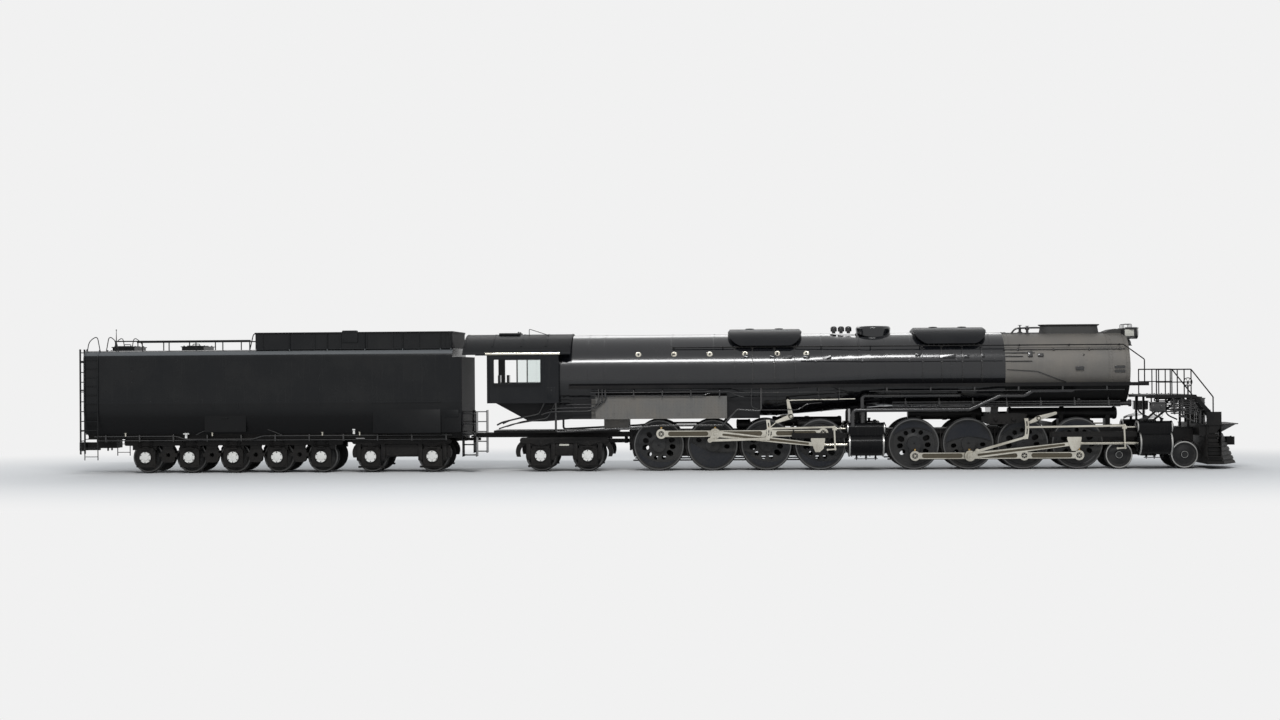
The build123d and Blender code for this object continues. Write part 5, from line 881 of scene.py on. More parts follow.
shapes = [rivetRow((-15.2, -1.6, z), (-13.88, -1.6, z), 0.088, 0.012) for z in (1.52, 2.3)]
shapes += [rivetRow((x, -1.6, 1.6), (x, -1.6, 2.22), 0.088, 0.012) for x in (-15.21, -14.54, -13.87)]
shapes.append(slabs((0.07, 0.2, 0.04), [(-14.95, -1.6, 2.36), (-14.1, -1.6, 2.36)], 0.02, 0.012))
handle = [(-14.64, -1.6, 1.95), (-14.64, -1.66, 1.95), (-14.44, -1.66, 1.95), (-14.44, -1.6, 1.95)]
shapes.append(bent(handle, 0.012, 0.03, 8))
addPair("toolBoxTrim", shapes, "tender", "tender_black")

# Frame pipes with clips, drain cocks and valves along the bed
framePipes = (
    # radius, then the run as (x, y, z)
    (0.022, [(-19.2, -1.41, 1.31), (-16.3, -1.41, 1.31), (-16.0, -1.44, 1.2), (-13.6, -1.44, 1.2),
             (-13.3, -1.41, 1.31), (-6.7, -1.41, 1.31)]),
    (0.018, [(-19.1, -1.37, 1.165), (-6.9, -1.37, 1.165)]),
    (0.014, [(-13.4, -1.45, 1.62), (-13.0, -1.45, 1.5), (-12.6, -1.43, 1.33)]),
    (0.014, [(-15.6, -1.45, 1.35), (-15.4, -1.47, 1.46), (-15.28, -1.47, 1.5)]),
)
shapes = [bent(run, radius, 0.2) for radius, run in framePipes]
clips = alongX(np.arange(-18.8, -6.8, 1.19), -1.33, 1.24)
shapes.append(slabs((0.05, 0.24, 0.09), clips, 0.015, 0.01))
addPair("tenderPipes", shapes, "tender", "pipe_black")
cock = lathed([(-0.02, 0.0), (-0.02, 0.03), (0.07, 0.028), (0.08, 0.045), (0.1, 0.045), (0.11, 0.012),
               (0.15, 0.012), (0.15, 0.0)], 14)
cocks = copied(cock, alongX((-18.1, -15.05, -11.2, -9.9), -1.41, 1.33), toTop)
addPair("tenderCocks", [cocks], "tender", "rod_steel")
valve = joined([lathed([(0.0, 0.0), (0.0, 0.045), (0.12, 0.04), (0.13, 0.07), (0.17, 0.07), (0.18, 0.0)], 16),
                tube([(-0.1, 0, 0.15), (0.1, 0, 0.15)], 0.022, 8)])
valves = copied(valve, [(-15.97, -1.41, 1.24), (-10.1, -1.41, 1.36)], toTop)
addPair("tenderValves", [valves], "tender", "journalWhite")

# Ladder, hoops and mast at the rear corners, and the rail round the fuel space
ladder = {"x": (-19.45, -18.99), "y": -1.66, "steps": np.arange(0.62, 4.0, 0.305), "feet": (1.5, 2.7, 3.8),
          "hoops": ([(-19.45, -1.36, 4.27), (-19.40, -1.34, 4.62), (-19.12, -1.3, 4.82),
                     (-19.02, -1.3, 4.28)],
                    [(-18.36, -1.36, 4.27), (-18.42, -1.34, 4.6), (-18.7, -1.3, 4.82), (-18.80, -1.3, 4.28)])}
shapes, y = [], ladder["y"]
for x in ladder["x"]:
    shapes.append(bent([(x, y, 0.5), (x, y, 3.96), (x, -1.58, 4.22), (x, -1.40, 4.34)], 0.017, 0.2))
    shapes += [tube([(x, -1.60, z), (x, y, z)], 0.014, 8) for z in ladder["feet"]]
shapes += [tube(alongX(ladder["x"], y, z), 0.013, 8) for z in ladder["steps"]]
shapes += [bent(run, 0.016, 0.3) for run in ladder["hoops"]]
addPair("cornerLadders", shapes, "tender", "tender_black")
mast = lathed([(0.0, 0.0), (0.0, 0.12), (0.16, 0.1), (0.2, 0.03), (0.3, 0.02), (0.74, 0.009), (0.75, 0.02),
               (0.78, 0.02), (0.79, 0.0)], 16)
addPiece("rearMast", [copied(mast, (-18.9, 0.0, 4.28), toTop)], "tender", "tender_black")

rail = {"y": -1.53, "z": 4.86, "posts": np.arange(-12.3, -7.0, 1.31), "rivets": np.arange(-13.2, -6.8, 0.42)}
y, z = rail["y"], rail["z"]
shapes = [bent([(-13.7, y, 4.22), (-13.55, y, z), (-6.75, y, z), (-6.7, y, 4.24)], 0.018, 0.12)]
shapes += [tube([(x, y, 4.2), (x, y, z)], 0.015, 8) for x in rail["posts"]]
shapes.append(slabs((0.55, 0.42, 0.06), (-10.2, -1.47, 4.72), 0.04, 0.015))
shapes.append(rivets([(x, -1.483, z) for x in rail["rivets"] for z in (4.36, 4.80)], 0.012))
addPair("bunkerRail", shapes, "tender", "tender_black")

hatches = {"x": (-18.43, -15.96), "hinges": (-0.45, 0.45)}
shapes = []
for x in hatches["x"]:
    for y in hatches["hinges"]:
        shapes.append(slabs((0.5, 0.07, 0.03), (x, y, 4.437), 0.02, 0.01, toTop))
        shapes.append(nuts([(x - 0.36, y, 4.44), (x + 0.36, y, 4.44)], 0.03, toTop))
    grip = [(x - 0.12, -0.2, 4.44), (x - 0.12, -0.2, 4.52), (x + 0.12, -0.2, 4.52), (x + 0.12, -0.2, 4.44)]
    shapes.append(bent(grip, 0.014, 0.04, 8))
addPiece("hatchGear", shapes, "tender", "tender_black")

fuel = {"x": (-13.455, -6.70), "y": 1.43, "foot": 2.36, "heap": 4.35, "crown": 0.34, "lumps": 900,
        "lumpSize": 0.11, "grid": (150, 64), "seed": 12}


def fuelHeap(look):
    # height = heap + crown cos cos + the tallest lump there, which is its size - 0.7 distance or else 0
    rng = np.random.default_rng(look["seed"])
    rows, columns = look["grid"]
    x = np.linspace(*look["x"], rows)[:, None] * np.ones((1, columns))
    y = np.linspace(-look["y"], look["y"], columns)[None, :] * np.ones((rows, 1))
    middle, half = sum(look["x"]) / 2, (look["x"][1] - look["x"][0]) / 2
    crown = look["crown"] * np.cos(0.5 * np.pi * (x - middle) / half) * np.cos(0.5 * np.pi * y / look["y"])
    lumpX = rng.uniform(*look["x"], look["lumps"])
    lumpY = rng.uniform(-look["y"], look["y"], look["lumps"])
    size = look["lumpSize"] * rng.uniform(0.5, 1.6, look["lumps"])
    away = np.hypot(x[..., None] - lumpX, (y[..., None] - lumpY) * rng.uniform(0.7, 1.4, look["lumps"]))
    lumps = np.maximum(size - 0.7 * away, 0).max(-1)
    top = np.stack([x, y, look["heap"] + crown + lumps], -1)
    foot = top.copy()
    foot[..., 2] = look["foot"]
    # the heap's edge all round, for its walls and its foot
    n = rows * columns
    edge = [(0, j) for j in range(columns)] + [(i, columns - 1) for i in range(1, rows)]
    edge += [(rows - 1, j) for j in range(columns - 2, -1, -1)] + [(i, 0) for i in range(rows - 2, 0, -1)]
    ids = [i * columns + j for i, j in edge]
    faces = [quad[::-1] for quad in gridFaces(rows, columns)]
    faces += [[a, b, b + n, a + n] for a, b in zip(ids, ids[1:] + ids[:1])]
    faces.append([i + n for i in ids])
    return np.concatenate([top.reshape(-1, 3), foot.reshape(-1, 3)]), faces


addPiece("fuelHeap", [fuelHeap(fuel)], "tender", "coal", 80.0)
print("tender dressed")


# Springs, boxes and brakes

# A kind of wheel has its centre height and tread radius; the other lists are places along X
wheels = {"face": 0.82, "spacing": 1.854, "main": {"rear": 2.264, "front": 11.027},
          "driver": (0.892, 0.864), "lead": (0.485, 0.457), "small": (0.561, 0.533),
          "trailing": (-2.036, -3.664), "truck": (-7.429, -9.579),
          "bed": [-11.313 - 1.545 * i for i in range(5)], "leading": (18.348, 16.138)}
bodies = {"rear": "locomotive", "front": "front_engine"}


def leafSpring(x, y, z, length, leaves, thick=0.016, width=0.09, camber=0.06):
    # leaf i spans length (1 - 0.82 i / leaves) and rises by camber (s / half)^2 towards its ends
    shapes = []
    for i in range(leaves):
        half = 0.5 * length * (1 - 0.82 * i / leaves)
        s = np.linspace(-half, half, 11)
        path = np.stack([x + s, 0 * s + y, z - i * thick * 1.06 + camber * (s / (0.5 * length)) ** 2], 1)
        shapes.append(swept(path, strip(width / 2, thick / 2), (0, 1, 0)))
    buckle = (x, y + 0.5 * width + 0.015, z - leaves * thick * 0.45)
    shapes.append(slabs((0.13, leaves * thick * 1.25, width + 0.03), buckle, 0.02, 0.01))
    return shapes


def coilSpring(x, y, z, height=0.3, radius=0.06, wire=0.015, turns=4.5):
    t = np.linspace(0, turns * 2 * np.pi, int(turns * 14))
    path = np.stack([x + radius * np.cos(t), y + radius * np.sin(t), z + height * t / t[-1]], 1)
    return tube(path, wire, 6)


smallAxles = {"trailing": wheels["trailing"], "tender_truck": wheels["truck"], "tender": wheels["bed"]}
for unit, places in smallAxles.items():
    body, shapes = "trailing_truck" if unit == "trailing" else unit, []
    for x in places:
        if body == "tender":
            shapes += [coilSpring(x + dx, -1.105, 0.9) for dx in (-0.2, 0.2)]
        else:
            shapes += leafSpring(x, -1.10, 1.03, 1.1, 7)
        shapes.append(slabs((0.2, 0.05, 0.09), (x, -1.06, 0.915), 0.02, 0.012))
        shapes.append(slabs((0.34, 0.035, 0.05), (x, -1.142, 0.86), 0.015, 0.01))
        shapes.append(nuts([(x + dx, -1.145, z) for z in (0.80, 0.30) for dx in (-0.27, 0.27)], 0.022))
    addPair(body + "Springs", shapes, body, "frame_black")


def railAndPedestals(places, rail):
    # the casting's outer face: a rail over the boxes, jaws beside each box and a web between two
    low, high = min(places) - rail, max(places) + rail
    shapes = [slabs((high - low, 0.2, 0.07), ((low + high) / 2, -1.062, 1.09), 0.09, 0.02)]
    for x in places:
        jaws = [(x + dx, -1.055, 0.74) for dx in (-0.425, 0.425)]
        shapes.append(slabs((0.15, 0.66, 0.06), jaws, 0.04, 0.015))
        shapes.append(slabs((0.9, 0.07, 0.04), (x, -1.05, 0.2), 0.02, 0.01))
    for a, b in zip(places, places[1:]):
        shapes.append(slabs((abs(a - b) - 0.95, 0.4, 0.045), ((a + b) / 2, -1.05, 0.78), 0.12, 0.015))
    return shapes


addPair("trailingTruckFaces", railAndPedestals(wheels["trailing"], 0.72), "trailing_truck", "frame_black")
addPair("tenderTruckFaces", railAndPedestals(wheels["truck"], 0.66), "tender_truck", "frame_black")
bedRail = slabs((7.7, 0.24, 0.05), (-14.4, -1.062, 1.09), 0.06, 0.015)
addPair("tenderBedRails", [bedRail], "tender", "frame_black")
truckPlate = slabs((0.34, 0.06, 0.012), (-2.85, -1.098, 0.93), 0.015, 0.005)
addPair("truckPlate", [truckPlate], "trailing_truck", "boardCream")

brake = {"y": -0.762, "z": 0.86, "thick": 0.05, "gap": 0.014, "spread": 24.0}


def brakeShoe(x):
    # an arc behind the wheel, a little off the tread, round a point just under the wheel's centre
    t = np.radians(np.linspace(180 - brake["spread"], 180 + brake["spread"], 10))
    r = wheels["driver"][1] + brake["gap"] + brake["thick"] / 2
    path = np.stack([x + r * np.cos(t), 0 * t + brake["y"], brake["z"] + r * np.sin(t)], 1)
    return swept(path, strip(0.045, brake["thick"] / 2), (0, 1, 0))


def driverPlaces(unit):
    # the third axle from the front is the main one
    return [wheels["main"][unit] + (2 - i) * wheels["spacing"] for i in range(4)]


for unit, body in bodies.items():
    first, last = driverPlaces(unit)[0], driverPlaces(unit)[-1]
    shapes = []
    for x in driverPlaces(unit):
        hanger = [(x - 0.935, brake["y"], 0.75), (x - 0.935, brake["y"], 1.1), (x - 0.94, brake["y"], 1.38)]
        shapes += [brakeShoe(x), swept(hanger, strip(0.02, 0.012), (0, 1, 0)),
                   tube([(x - 0.94, -0.57, 1.36), (x - 0.94, -0.79, 1.36)], 0.022, 10)]
    addPair(unit + "Brakes", shapes, body, "frame_black")
    shapes = []
    for i in range(3):
        middle = last + (i + 0.5) * wheels["spacing"]
        shapes += leafSpring(middle, -0.51, 0.70, 1.22, 12, 0.015, 0.11, 0.12)
        shapes.append(slabs((1.5, 0.14, 0.05), (middle, -0.37, 0.80), 0.06, 0.012))
    middle = (first + last) / 2
    shapes.append(slabs((first - last + 0.5, 0.055, 0.15), (middle, -0.435, 0.525), 0.02, 0.01))
    shapes.append(slabs((first - last + 1.2, 0.05, 0.05), (middle - 0.3, -0.70, 0.37), 0.02, 0.01))
    addPair(unit + "SpringGear", shapes, body, "frame_black")
print("springs and brakes ready")


# Wheels, caps and rods

motion = {"crank": 0.406, "angle": {"rear": 77.0, "front": -88.0}, "quartering": -90.0, "pinFace": 1.058,
          "capFace": 1.184, "capNuts": 1.192, "cupRise": 0.16,
          # counterweights as (offset of the inner arc, its radius), inside the rim's own radius
          "weights": {"coupled": (0.591, 1.151), "main": (1.651, 1.881)}, "weightReach": 0.765,
          "weightFace": 0.845}
sides = ((-1, "right", 0.0), (1, "left", motion["quartering"]))


def wheelRim(x, kind):
    # a thin bright face round the tyre's outer edge
    z, radius = wheels[kind]
    ring = lathed([(-0.003, radius - 0.046), (-0.003, radius - 0.006), (0.0015, radius - 0.008),
                   (0.0015, radius - 0.044)], 96)
    return bothHands([copied(ring, (x, -wheels["face"], z))])


def crankPin(x, angle):
    turn = math.radians(angle)
    return x + motion["crank"] * math.cos(turn), wheels["driver"][0] + motion["crank"] * math.sin(turn)


def weightFace(offset, cut, angle, y):
    # the counterweight's own crescent: on ray t its inner edge is o cos t + sqrt(c^2 - o^2 sin^2 t)
    reach = motion["weightReach"]
    limit = math.degrees(math.acos((reach**2 + offset**2 - cut**2) / (2 * reach * offset)))
    t = np.radians(np.linspace(limit + 1.5, 358.5 - limit, 48))
    inner = offset * np.cos(t) + np.sqrt(cut**2 - (offset * np.sin(t)) ** 2) + 0.012
    inner = np.minimum(inner, reach - 0.004)
    turn = t + math.radians(angle)
    side = math.copysign(1, y)
    rings = []
    outer = 0 * t + reach
    for r, h in ((inner, -0.002), (inner + 0.004, 0.004), (outer - 0.004, 0.004), (outer, -0.002)):
        rings.append(np.stack([r * np.cos(turn), 0 * t + y + side * h, r * np.sin(turn)], 1))
    points = np.stack(rings, 1).reshape(-1, 3)
    faces = gridFaces(len(t), 4, closeColumns=True) + endCaps(len(points), 4)
    return points, [quad[::-1] for quad in faces] if side > 0 else faces


oilCup = lathed([(-0.03, 0.0), (-0.03, 0.03), (0.02, 0.03), (0.025, 0.045), (0.07, 0.045), (0.078, 0.03),
                 (0.09, 0.02), (0.09, 0.0)], 16)
pinHub = lathed([(-0.02, 0.0), (-0.02, 0.042), (0.01, 0.042), (0.02, 0.03), (0.02, 0.0)], 20)
for unit, first in motion["angle"].items():
    for i, x in enumerate(driverPlaces(unit)):
        body = f"{unit}_driver_axle_{i + 1}"
        addPiece(f"{unit}Rims{i + 1}", [wheelRim(x, "driver")], body, "wornSteel")
        bolts, crescents = [], []
        for side, _, extra in sides:
            pinX, pinZ = crankPin(x, first + extra)
            pin, outward = (pinX, side * motion["pinFace"], pinZ), (0, side, 0)
            bolts.append(nuts(ringAbout(pin, outward, 0.068, 6), 0.016, outward))
            bolts.append(copied(pinHub, pin, outward))
            kind = "main" if i == 2 else "coupled"
            points, faces = weightFace(*motion["weights"][kind], first + extra, side * motion["weightFace"])
            crescents.append((points + [x, 0, wheels["driver"][0]], faces))
        addPiece(f"{unit}PinNuts{i + 1}", bolts, body, "rod_steel")
        addPiece(f"{unit}Weights{i + 1}", crescents, body, "weightBlue")
    for side, name, extra in sides:
        pins = [crankPin(x, first + extra) for x in driverPlaces(unit)]
        cups = copied(oilCup, [(pinX, side * 1.0, pinZ + motion["cupRise"]) for pinX, pinZ in pins], toTop)
        addPiece(f"{unit}OilCups_{name}", [cups], f"{unit}_side_rod_{name}", "brassFitting")

axleCap = lathed([(-0.03, 0.0), (-0.03, 0.193), (0.002, 0.193), (0.008, 0.186), (0.01, 0.155), (0.006, 0.15),
                  (0.006, 0.12), (0.02, 0.108), (0.026, 0.06), (0.026, 0.0)], 48)
hubRing = lathed([(-0.01, 0.105), (-0.01, 0.118), (0.004, 0.116), (0.004, 0.107)], 48)
for unit, places in smallAxles.items():
    for i, x in enumerate(places):
        body, z = f"{unit}_axle_{i + 1}", wheels["small"][0]
        addPair(body + "_caps", [copied(axleCap, (x, -motion["capFace"], z))], body, "journalWhite")
        bolts = nuts(ringAbout((x, -motion["capNuts"], z), toRight, 0.17, 6, 30.0), 0.02)
        addPair(body + "_capNuts", [bolts], body, "wheel_grey")
        addPiece(body + "_rims", [wheelRim(x, "small")], body, "wornSteel")
for i, x in enumerate(wheels["leading"]):
    body, hub = f"lead_axle_{i + 1}", (x, -0.842, wheels["lead"][0])
    addPiece(body + "_rims", [wheelRim(x, "lead"), bothHands([copied(hubRing, hub)])], body, "treadSteel")
    addPair(body + "_hubNuts", [nuts(ringAbout(hub, toRight, 0.06, 6), 0.015)], body, "wheel_grey")
print("wheels dressed")


# Cylinders and valve gear

cylinder = {"ends": {"rear": (6.905, 8.11), "front": (16.7, 17.8)}, "y": -1.14, "z": 0.892, "chestZ": 1.44,
            "radius": 0.401, "chestRadius": 0.205, "cockZ": 0.51, "valveZ": 1.64}
drainCock = lathed([(-0.02, 0.0), (-0.02, 0.035), (0.05, 0.03), (0.055, 0.045), (0.08, 0.045), (0.085, 0.015),
                    (0.15, 0.015), (0.15, 0.0)], 12)
reliefValve = lathed([(-0.02, 0.0), (-0.02, 0.05), (0.06, 0.045), (0.07, 0.06), (0.1, 0.06), (0.11, 0.0)], 14)
y, z, chestZ = cylinder["y"], cylinder["z"], cylinder["chestZ"]
for unit, (back, front) in cylinder["ends"].items():
    rims = [hoop((x, y, z), cylinder["radius"], 0.055, 0.012, 72) for x in (back + 0.03, front - 0.03)]
    rims += [hoop((x, y, chestZ), cylinder["chestRadius"], 0.045, 0.01, 48)
             for x in (back - 0.02, front + 0.02)]
    addPair(unit + "CylinderRims", rims, bodies[unit], "treadSteel")
    studs = [nuts(ringAbout((front + 0.048, y, z), toFront, 0.262, 20), 0.02, toFront),
             nuts(ringAbout((front, y, z), toFront, 0.345, 24), 0.02, toFront),
             nuts(ringAbout((back + 0.048, y, z), toBack, 0.345, 24), 0.02, toBack),
             nuts(ringAbout((front + 0.04, y, chestZ), toFront, 0.165, 10), 0.018, toFront)]
    cocks = alongX((back + 0.28, (back + front) / 2, front - 0.28), y, cylinder["cockZ"])
    studs.append(copied(drainCock, cocks, (0, 0, -1)))
    studs.append(tube([(back + 0.2, y, 0.405), (front - 0.2, y, 0.405)], 0.014, 8))
    studs.append(copied(reliefValve, alongX((back + 0.3, front - 0.3), y, cylinder["valveZ"]), toTop))
    addPair(unit + "CylinderStuds", studs, bodies[unit], "cylinder_black")


gear = {"lag": 128, "reach": 0.285, "leverBack": 0.48}


def gearPins(mainX, angle, backX):
    # the valve gear's pin centres as (x, z, nut size, y), from the crank's angle
    pinX, pinZ = crankPin(mainX, angle)
    swing = math.radians(angle - gear["lag"])
    crankX, crankZ = pinX - gear["reach"] * math.cos(swing), pinZ + gear["reach"] * math.sin(swing)
    leverX = backX - gear["leverBack"]
    return [(pinX, pinZ, 0.06, 1.284), (crankX, crankZ, 0.034, 1.338), (mainX + 1.836, 1.11, 0.03, 1.338),
            (mainX + 1.946, 1.46, 0.03, 1.334), (leverX, 1.5, 0.026, 1.332),
            (leverX + 0.03, 0.742, 0.022, 1.31)]


for unit, (backX, _) in cylinder["ends"].items():
    shapes = []
    for side, _, extra in sides:
        outward = (0, side, 0)
        for x, z, size, y in gearPins(wheels["main"][unit], motion["angle"][unit] + extra, backX):
            shapes.append(nuts((x, side * y, z), size, outward))
            if size > 0.05:
                shapes.append(nuts(ringAbout((x, side * y, z), outward, 0.082, 4, 45), 0.018, outward))
    addPiece(unit + "GearNuts", shapes, bodies[unit], "rod_steel")


def sideCasting(outline, y, depth, edge):
    # an outline of (x, z) points as a casting whose back stands at y on the right
    points, faces = plate(outline, depth, edge)
    return np.stack([points[:, 0], y - points[:, 2], points[:, 1]], 1), faces


def reverseArm(start, end, startSize, endSize, y):
    # a forged arm: the half width falls evenly from boss to boss between two round ends
    (x0, z0), (x1, z1) = start, end
    lean = math.atan2(z1 - z0, x1 - x0)
    a = np.linspace(lean + 0.5 * np.pi, lean + 1.5 * np.pi, 12)
    b = np.linspace(lean - 0.5 * np.pi, lean + 0.5 * np.pi, 12)
    outline = np.concatenate([
        np.stack([x0 + startSize * np.cos(a), z0 + startSize * np.sin(a)], 1),
        np.stack([x1 + endSize * np.cos(b), z1 + endSize * np.sin(b)], 1)])
    return sideCasting(outline, y, 0.05, 0.008)


shaft, upper, lower = (4.955, 1.87), (4.85, 2.42), (4.466, 1.69)
shapes = [reverseArm(shaft, upper, 0.09, 0.045, -1.20), reverseArm(shaft, lower, 0.09, 0.05, -1.20),
          tube([(shaft[0], -0.5, shaft[1]), (shaft[0], -1.27, shaft[1])], 0.055, 16)]
shapes += [nuts((x, -1.255, z), size) for (x, z), size in ((upper, 0.03), (lower, 0.03), (shaft, 0.05))]
shapes.append(tube([(4.85, -1.225, 2.42), (7.1, -1.225, 2.46), (7.15, -1.225, 2.46)], 0.024, 10))
shapes.append(tube([(4.466, -1.225, 1.69), (4.24, -1.29, 1.49)], 0.02, 10))
addPair("reverseArms", shapes, "locomotive", "rod_steel")

bracketOutline = [(11.42, 1.66), (11.62, 1.57), (12.25, 1.56), (12.7, 1.60), (12.9, 1.72), (12.98, 1.9),
                  (12.7, 1.94), (12.1, 1.93), (11.6, 1.9), (11.42, 1.82)]
shapes = [sideCasting(bracketOutline, -1.10, 0.14, 0.02)]
ribFoot = 1.59
for x, top in ((11.55, 1.86), (11.95, 1.91), (12.35, 1.91), (12.72, 1.92)):
    shapes.append(slabs((0.05, top - ribFoot, 0.05), (x, -1.17, (top + ribFoot) / 2), 0.015, 0.01))
bracketBoss = lathed([(0.0, 0.0), (0.0, 0.1), (0.14, 0.1), (0.16, 0.07), (0.22, 0.06), (0.23, 0.0)], 20)
shapes += [slabs((1.4, 0.05, 0.09), (12.2, -1.13, 1.9), 0.02, 0.012),
           nuts(between((11.6, -1.245, 1.63), (12.75, -1.245, 1.66), 0.16), 0.025),
           copied(bracketBoss, [(11.9, -1.1, 1.74), (12.5, -1.1, 1.74)])]
addPair("linkBrackets", shapes, "front_engine", "frame_black")


def flangedPipe(start, end, radius):
    # a pipe's profile along X with a collar at each end and a pair of bolted flanges in the middle
    length, middle = end - start, 0.5 * (end - start)
    collar = radius + 0.022
    back = [(0.0, 0.0), (0.0, radius), (0.04, collar), (0.1, collar), (0.14, radius), (middle - 0.08, radius),
            (middle - 0.07, collar)]
    return lathed(back + [(length - h, r) for h, r in back[::-1]], 40)


bigPipes = {
    # unit: (radius, z, runs as (start, end), saddles, saddle size, saddle place, brake cylinders, their z)
    "front": (0.195, 1.9, ((12.5, 16.22), (9.05, 11.6)), (9.4, 11.3, 12.75, 14.3, 15.9), (0.16, 0.5, 0.44),
              (0.22, 1.62), (12.9, 14.75), 1.6),
    "rear": (0.16, 1.67, ((4.35, 6.75),), (4.7, 6.3), (0.16, 0.36, 0.4), (0.2, 1.5), (3.1, 5.2), 1.58),
}
brakeCylinder = lathed([(0.0, 0.0), (0.0, 0.11), (0.02, 0.15), (0.05, 0.165), (0.08, 0.15), (0.42, 0.15),
                        (0.44, 0.17), (0.47, 0.17), (0.5, 0.08), (0.6, 0.045), (0.6, 0.0)], 28)


def bigPipe(radius, z, runs, saddles, size, saddlePlace, cylinders, cylinderZ):
    shapes = [copied(flangedPipe(start, end, radius), (start, 0, z), toFront) for start, end in runs]
    shapes.append(slabs(size, [(x, *saddlePlace) for x in saddles], 0.03, 0.02))
    places = [(x, y, cylinderZ) for x in cylinders for y in (-0.44, 0.44)]
    return shapes + [copied(brakeCylinder, places, toFront)]


addPiece("enginePipe", bigPipe(*bigPipes["front"]), "front_engine", "frame_black")

under = {"y": -0.8, "ends": (8.45, 16.2), "heights": (2.172, 2.25, 2.328),
         "clips": np.arange(8.9, 16.1, 1.15)}
shapes = [tube(alongX(under["ends"], under["y"], z), 0.037, 12) for z in under["heights"]]
for x in under["clips"]:
    shapes.append(slabs((0.07, 0.23, 0.05), (x, under["y"], 2.262), 0.02, 0.01))
    shapes.append(tube([(x, -0.78, 2.3), (x, -0.78, 2.46)], 0.02, 8))
addPair("underPipes", shapes, "locomotive", "pipe_black")
addPiece("rearEnginePipe", bigPipe(*bigPipes["rear"]), "locomotive", "frame_black")

shaft, upper, lower = (13.35, 1.76), (13.92, 1.93), (13.05, 1.62)
shapes = [reverseArm(shaft, upper, 0.085, 0.05, -1.21), reverseArm(shaft, lower, 0.085, 0.045, -1.21),
          tube([(shaft[0], -0.6, shaft[1]), (shaft[0], -1.27, shaft[1])], 0.05, 16)]
shapes += [nuts((x, -1.262, z), size) for (x, z), size in ((shaft, 0.05), (upper, 0.028), (lower, 0.026))]
addPair("frontReverseArms", shapes, "front_engine", "rod_steel")
print("motion dressed")


# Front end and lamps

lamp = {"place": (16.95, 0, 4.655), "rim": (16.947, 0, 4.655), "board": (16.527, -0.38, 4.655),
        "boardLean": 22.0, "boardStand": 0.165, "boardRise": 0.13, "guards": (-0.3, -0.1, 0.1, 0.3)}
lens = lathed([(-0.01, 0.0), (-0.01, 0.17), (0.006, 0.168), (0.02, 0.13), (0.028, 0.07), (0.03, 0.0)], 48)
lampRim = lathed([(-0.01, 0.172), (-0.01, 0.208), (0.018, 0.206), (0.03, 0.19), (0.018, 0.172)], 48)
addPiece("lampLens", [copied(lens, lamp["place"], toFront)], "locomotive", "lampGlass")
addPiece("lampRim", [copied(lampRim, lamp["rim"], toFront)], "locomotive", "treadSteel")

lean = math.radians(lamp["boardLean"])
outward = np.array([math.sin(lean), -math.cos(lean), 0.0])
place, rise = np.array(lamp["board"]) + lamp["boardStand"] * outward, np.array([0, 0, lamp["boardRise"]])
boards = slabs((0.36, 0.225, 0.006), place, 0.02, 0.003, outward)
addPair("numberBoards", [boards], "locomotive", "boardCream")
edges = slabs((0.415, 0.028, 0.012), [place + rise, place - rise], 0.008, 0.004, outward)
addPair("boardRims", [edges], "locomotive", "lamp_metal")
guard = [bent([(16.45, y, 4.83), (16.45, y, 4.96), (16.72, y, 4.96), (16.72, y, 4.83)], 0.011, 0.05, 8)
         for y in lamp["guards"]]
addPiece("lampGuard", guard, "locomotive", "lamp_metal")

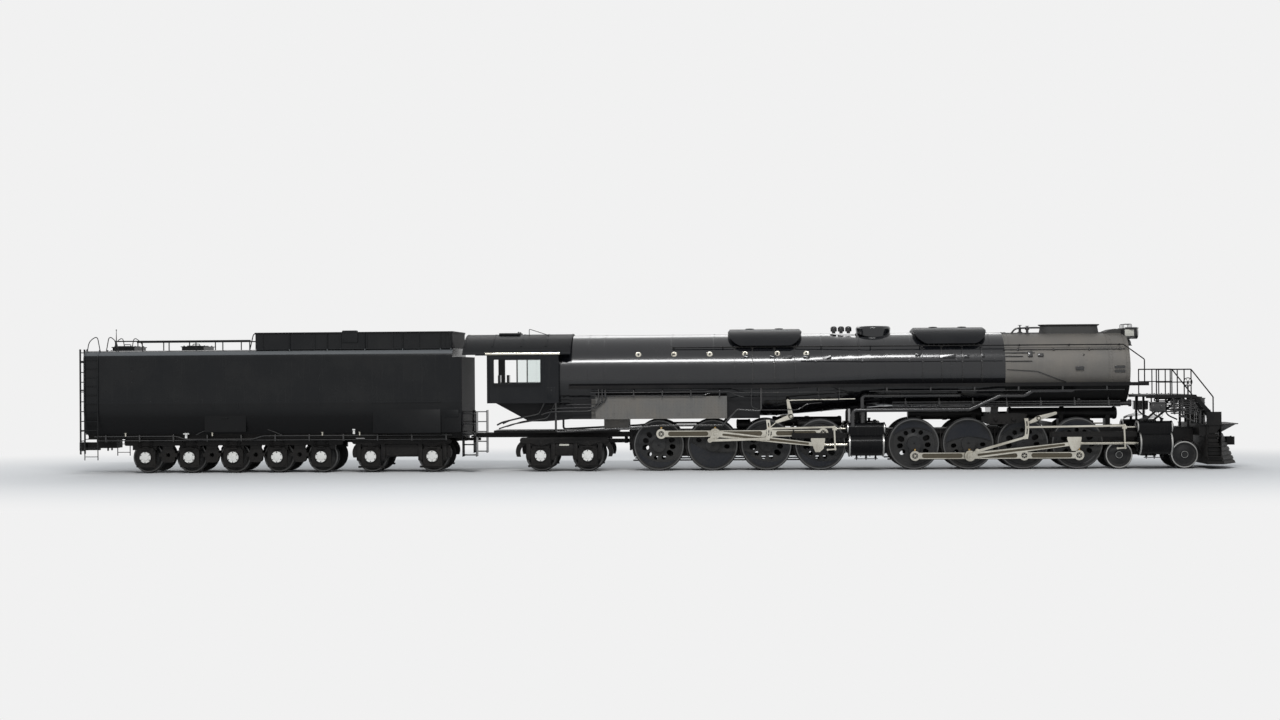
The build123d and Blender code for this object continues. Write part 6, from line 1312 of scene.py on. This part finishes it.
oiler = {"pipes": 6, "first": 17.17, "spacing": 0.07, "fall": 0.014, "step": 0.012}
oilerKnob = lathed([(0.0, 0.0), (0.0, 0.07), (0.03, 0.07), (0.04, 0.05), (0.04, 0.0)], 20)
shapes = [slabs((0.5, 0.3, 0.22), (17.35, -1.12, 2.12), 0.05, 0.03),
          slabs((0.54, 0.04, 0.25), (17.35, -1.11, 2.27), 0.02, 0.012)]
for i in range(oiler["pipes"]):
    x, fall = oiler["first"] + oiler["spacing"] * i, oiler["fall"] * i
    run = [(x, -1.24, 1.98), (x, -1.26, 1.86 - oiler["step"] * i), (16.9, -1.28, 1.78 - fall),
           (16.75, -1.2, 1.72 - fall)]
    shapes.append(bent(run, 0.006, 0.06, 6))
shapes.append(copied(oilerKnob, [(17.2, -1.34, 2.12), (17.48, -1.34, 2.12)]))
addPair("mechanicalOiler", shapes, "front_engine", "pipe_black")

deckPipes = ([(17.2, -1.0, 2.46), (17.2, -1.0, 1.9), (17.6, -1.0, 1.7)],
             [(18.2, -1.1, 2.46), (18.2, -1.1, 1.8), (18.6, -1.1, 1.62)],
             [(17.9, -1.15, 2.46), (17.9, -1.15, 2.0), (18.75, -0.95, 1.95), (18.85, -0.75, 1.95)])
shapes = [nuts(alongX(np.arange(17.1, 18.6, 0.25), -1.27, 2.53), 0.022, toTop)]
shapes += [bent(run, 0.026, 0.2) for run in deckPipes]
addPair("deckPipes", shapes, "front_engine", "pipe_black")

# The air cooling coil: one pipe that runs back and forth under the deck
coil = {"runs": 7, "foot": 1.9, "spacing": 0.075, "ends": (17.82, 18.62), "y": -1.13,
        "clips": (17.95, 18.22, 18.49)}
run = []
for i in range(coil["runs"]):
    z, near, far = coil["foot"] + coil["spacing"] * i, coil["ends"][i % 2], coil["ends"][1 - i % 2]
    run += [(near, coil["y"], z), (far, coil["y"], z)]
clips = slabs((0.05, 0.56, 0.05), alongX(coil["clips"], -1.09, 2.14), 0.01)
addPair("coolingCoils", [bent(run, 0.024, 0.035, 8), clips], "front_engine", "pipe_black")

fins = {"x": 18.99, "y": (-0.515, -0.285, 0.285, 0.515), "z": np.arange(1.75, 2.3, 0.07)}
fin = lathed([(-0.008, 0.09), (-0.008, 0.122), (0.008, 0.122), (0.008, 0.09)], 24)
places = [(fins["x"], y, z) for y in fins["y"] for z in fins["z"]]
addPiece("pumpFins", [copied(fin, places, toTop)], "front_engine", "pipe_black")
print("front end dressed")
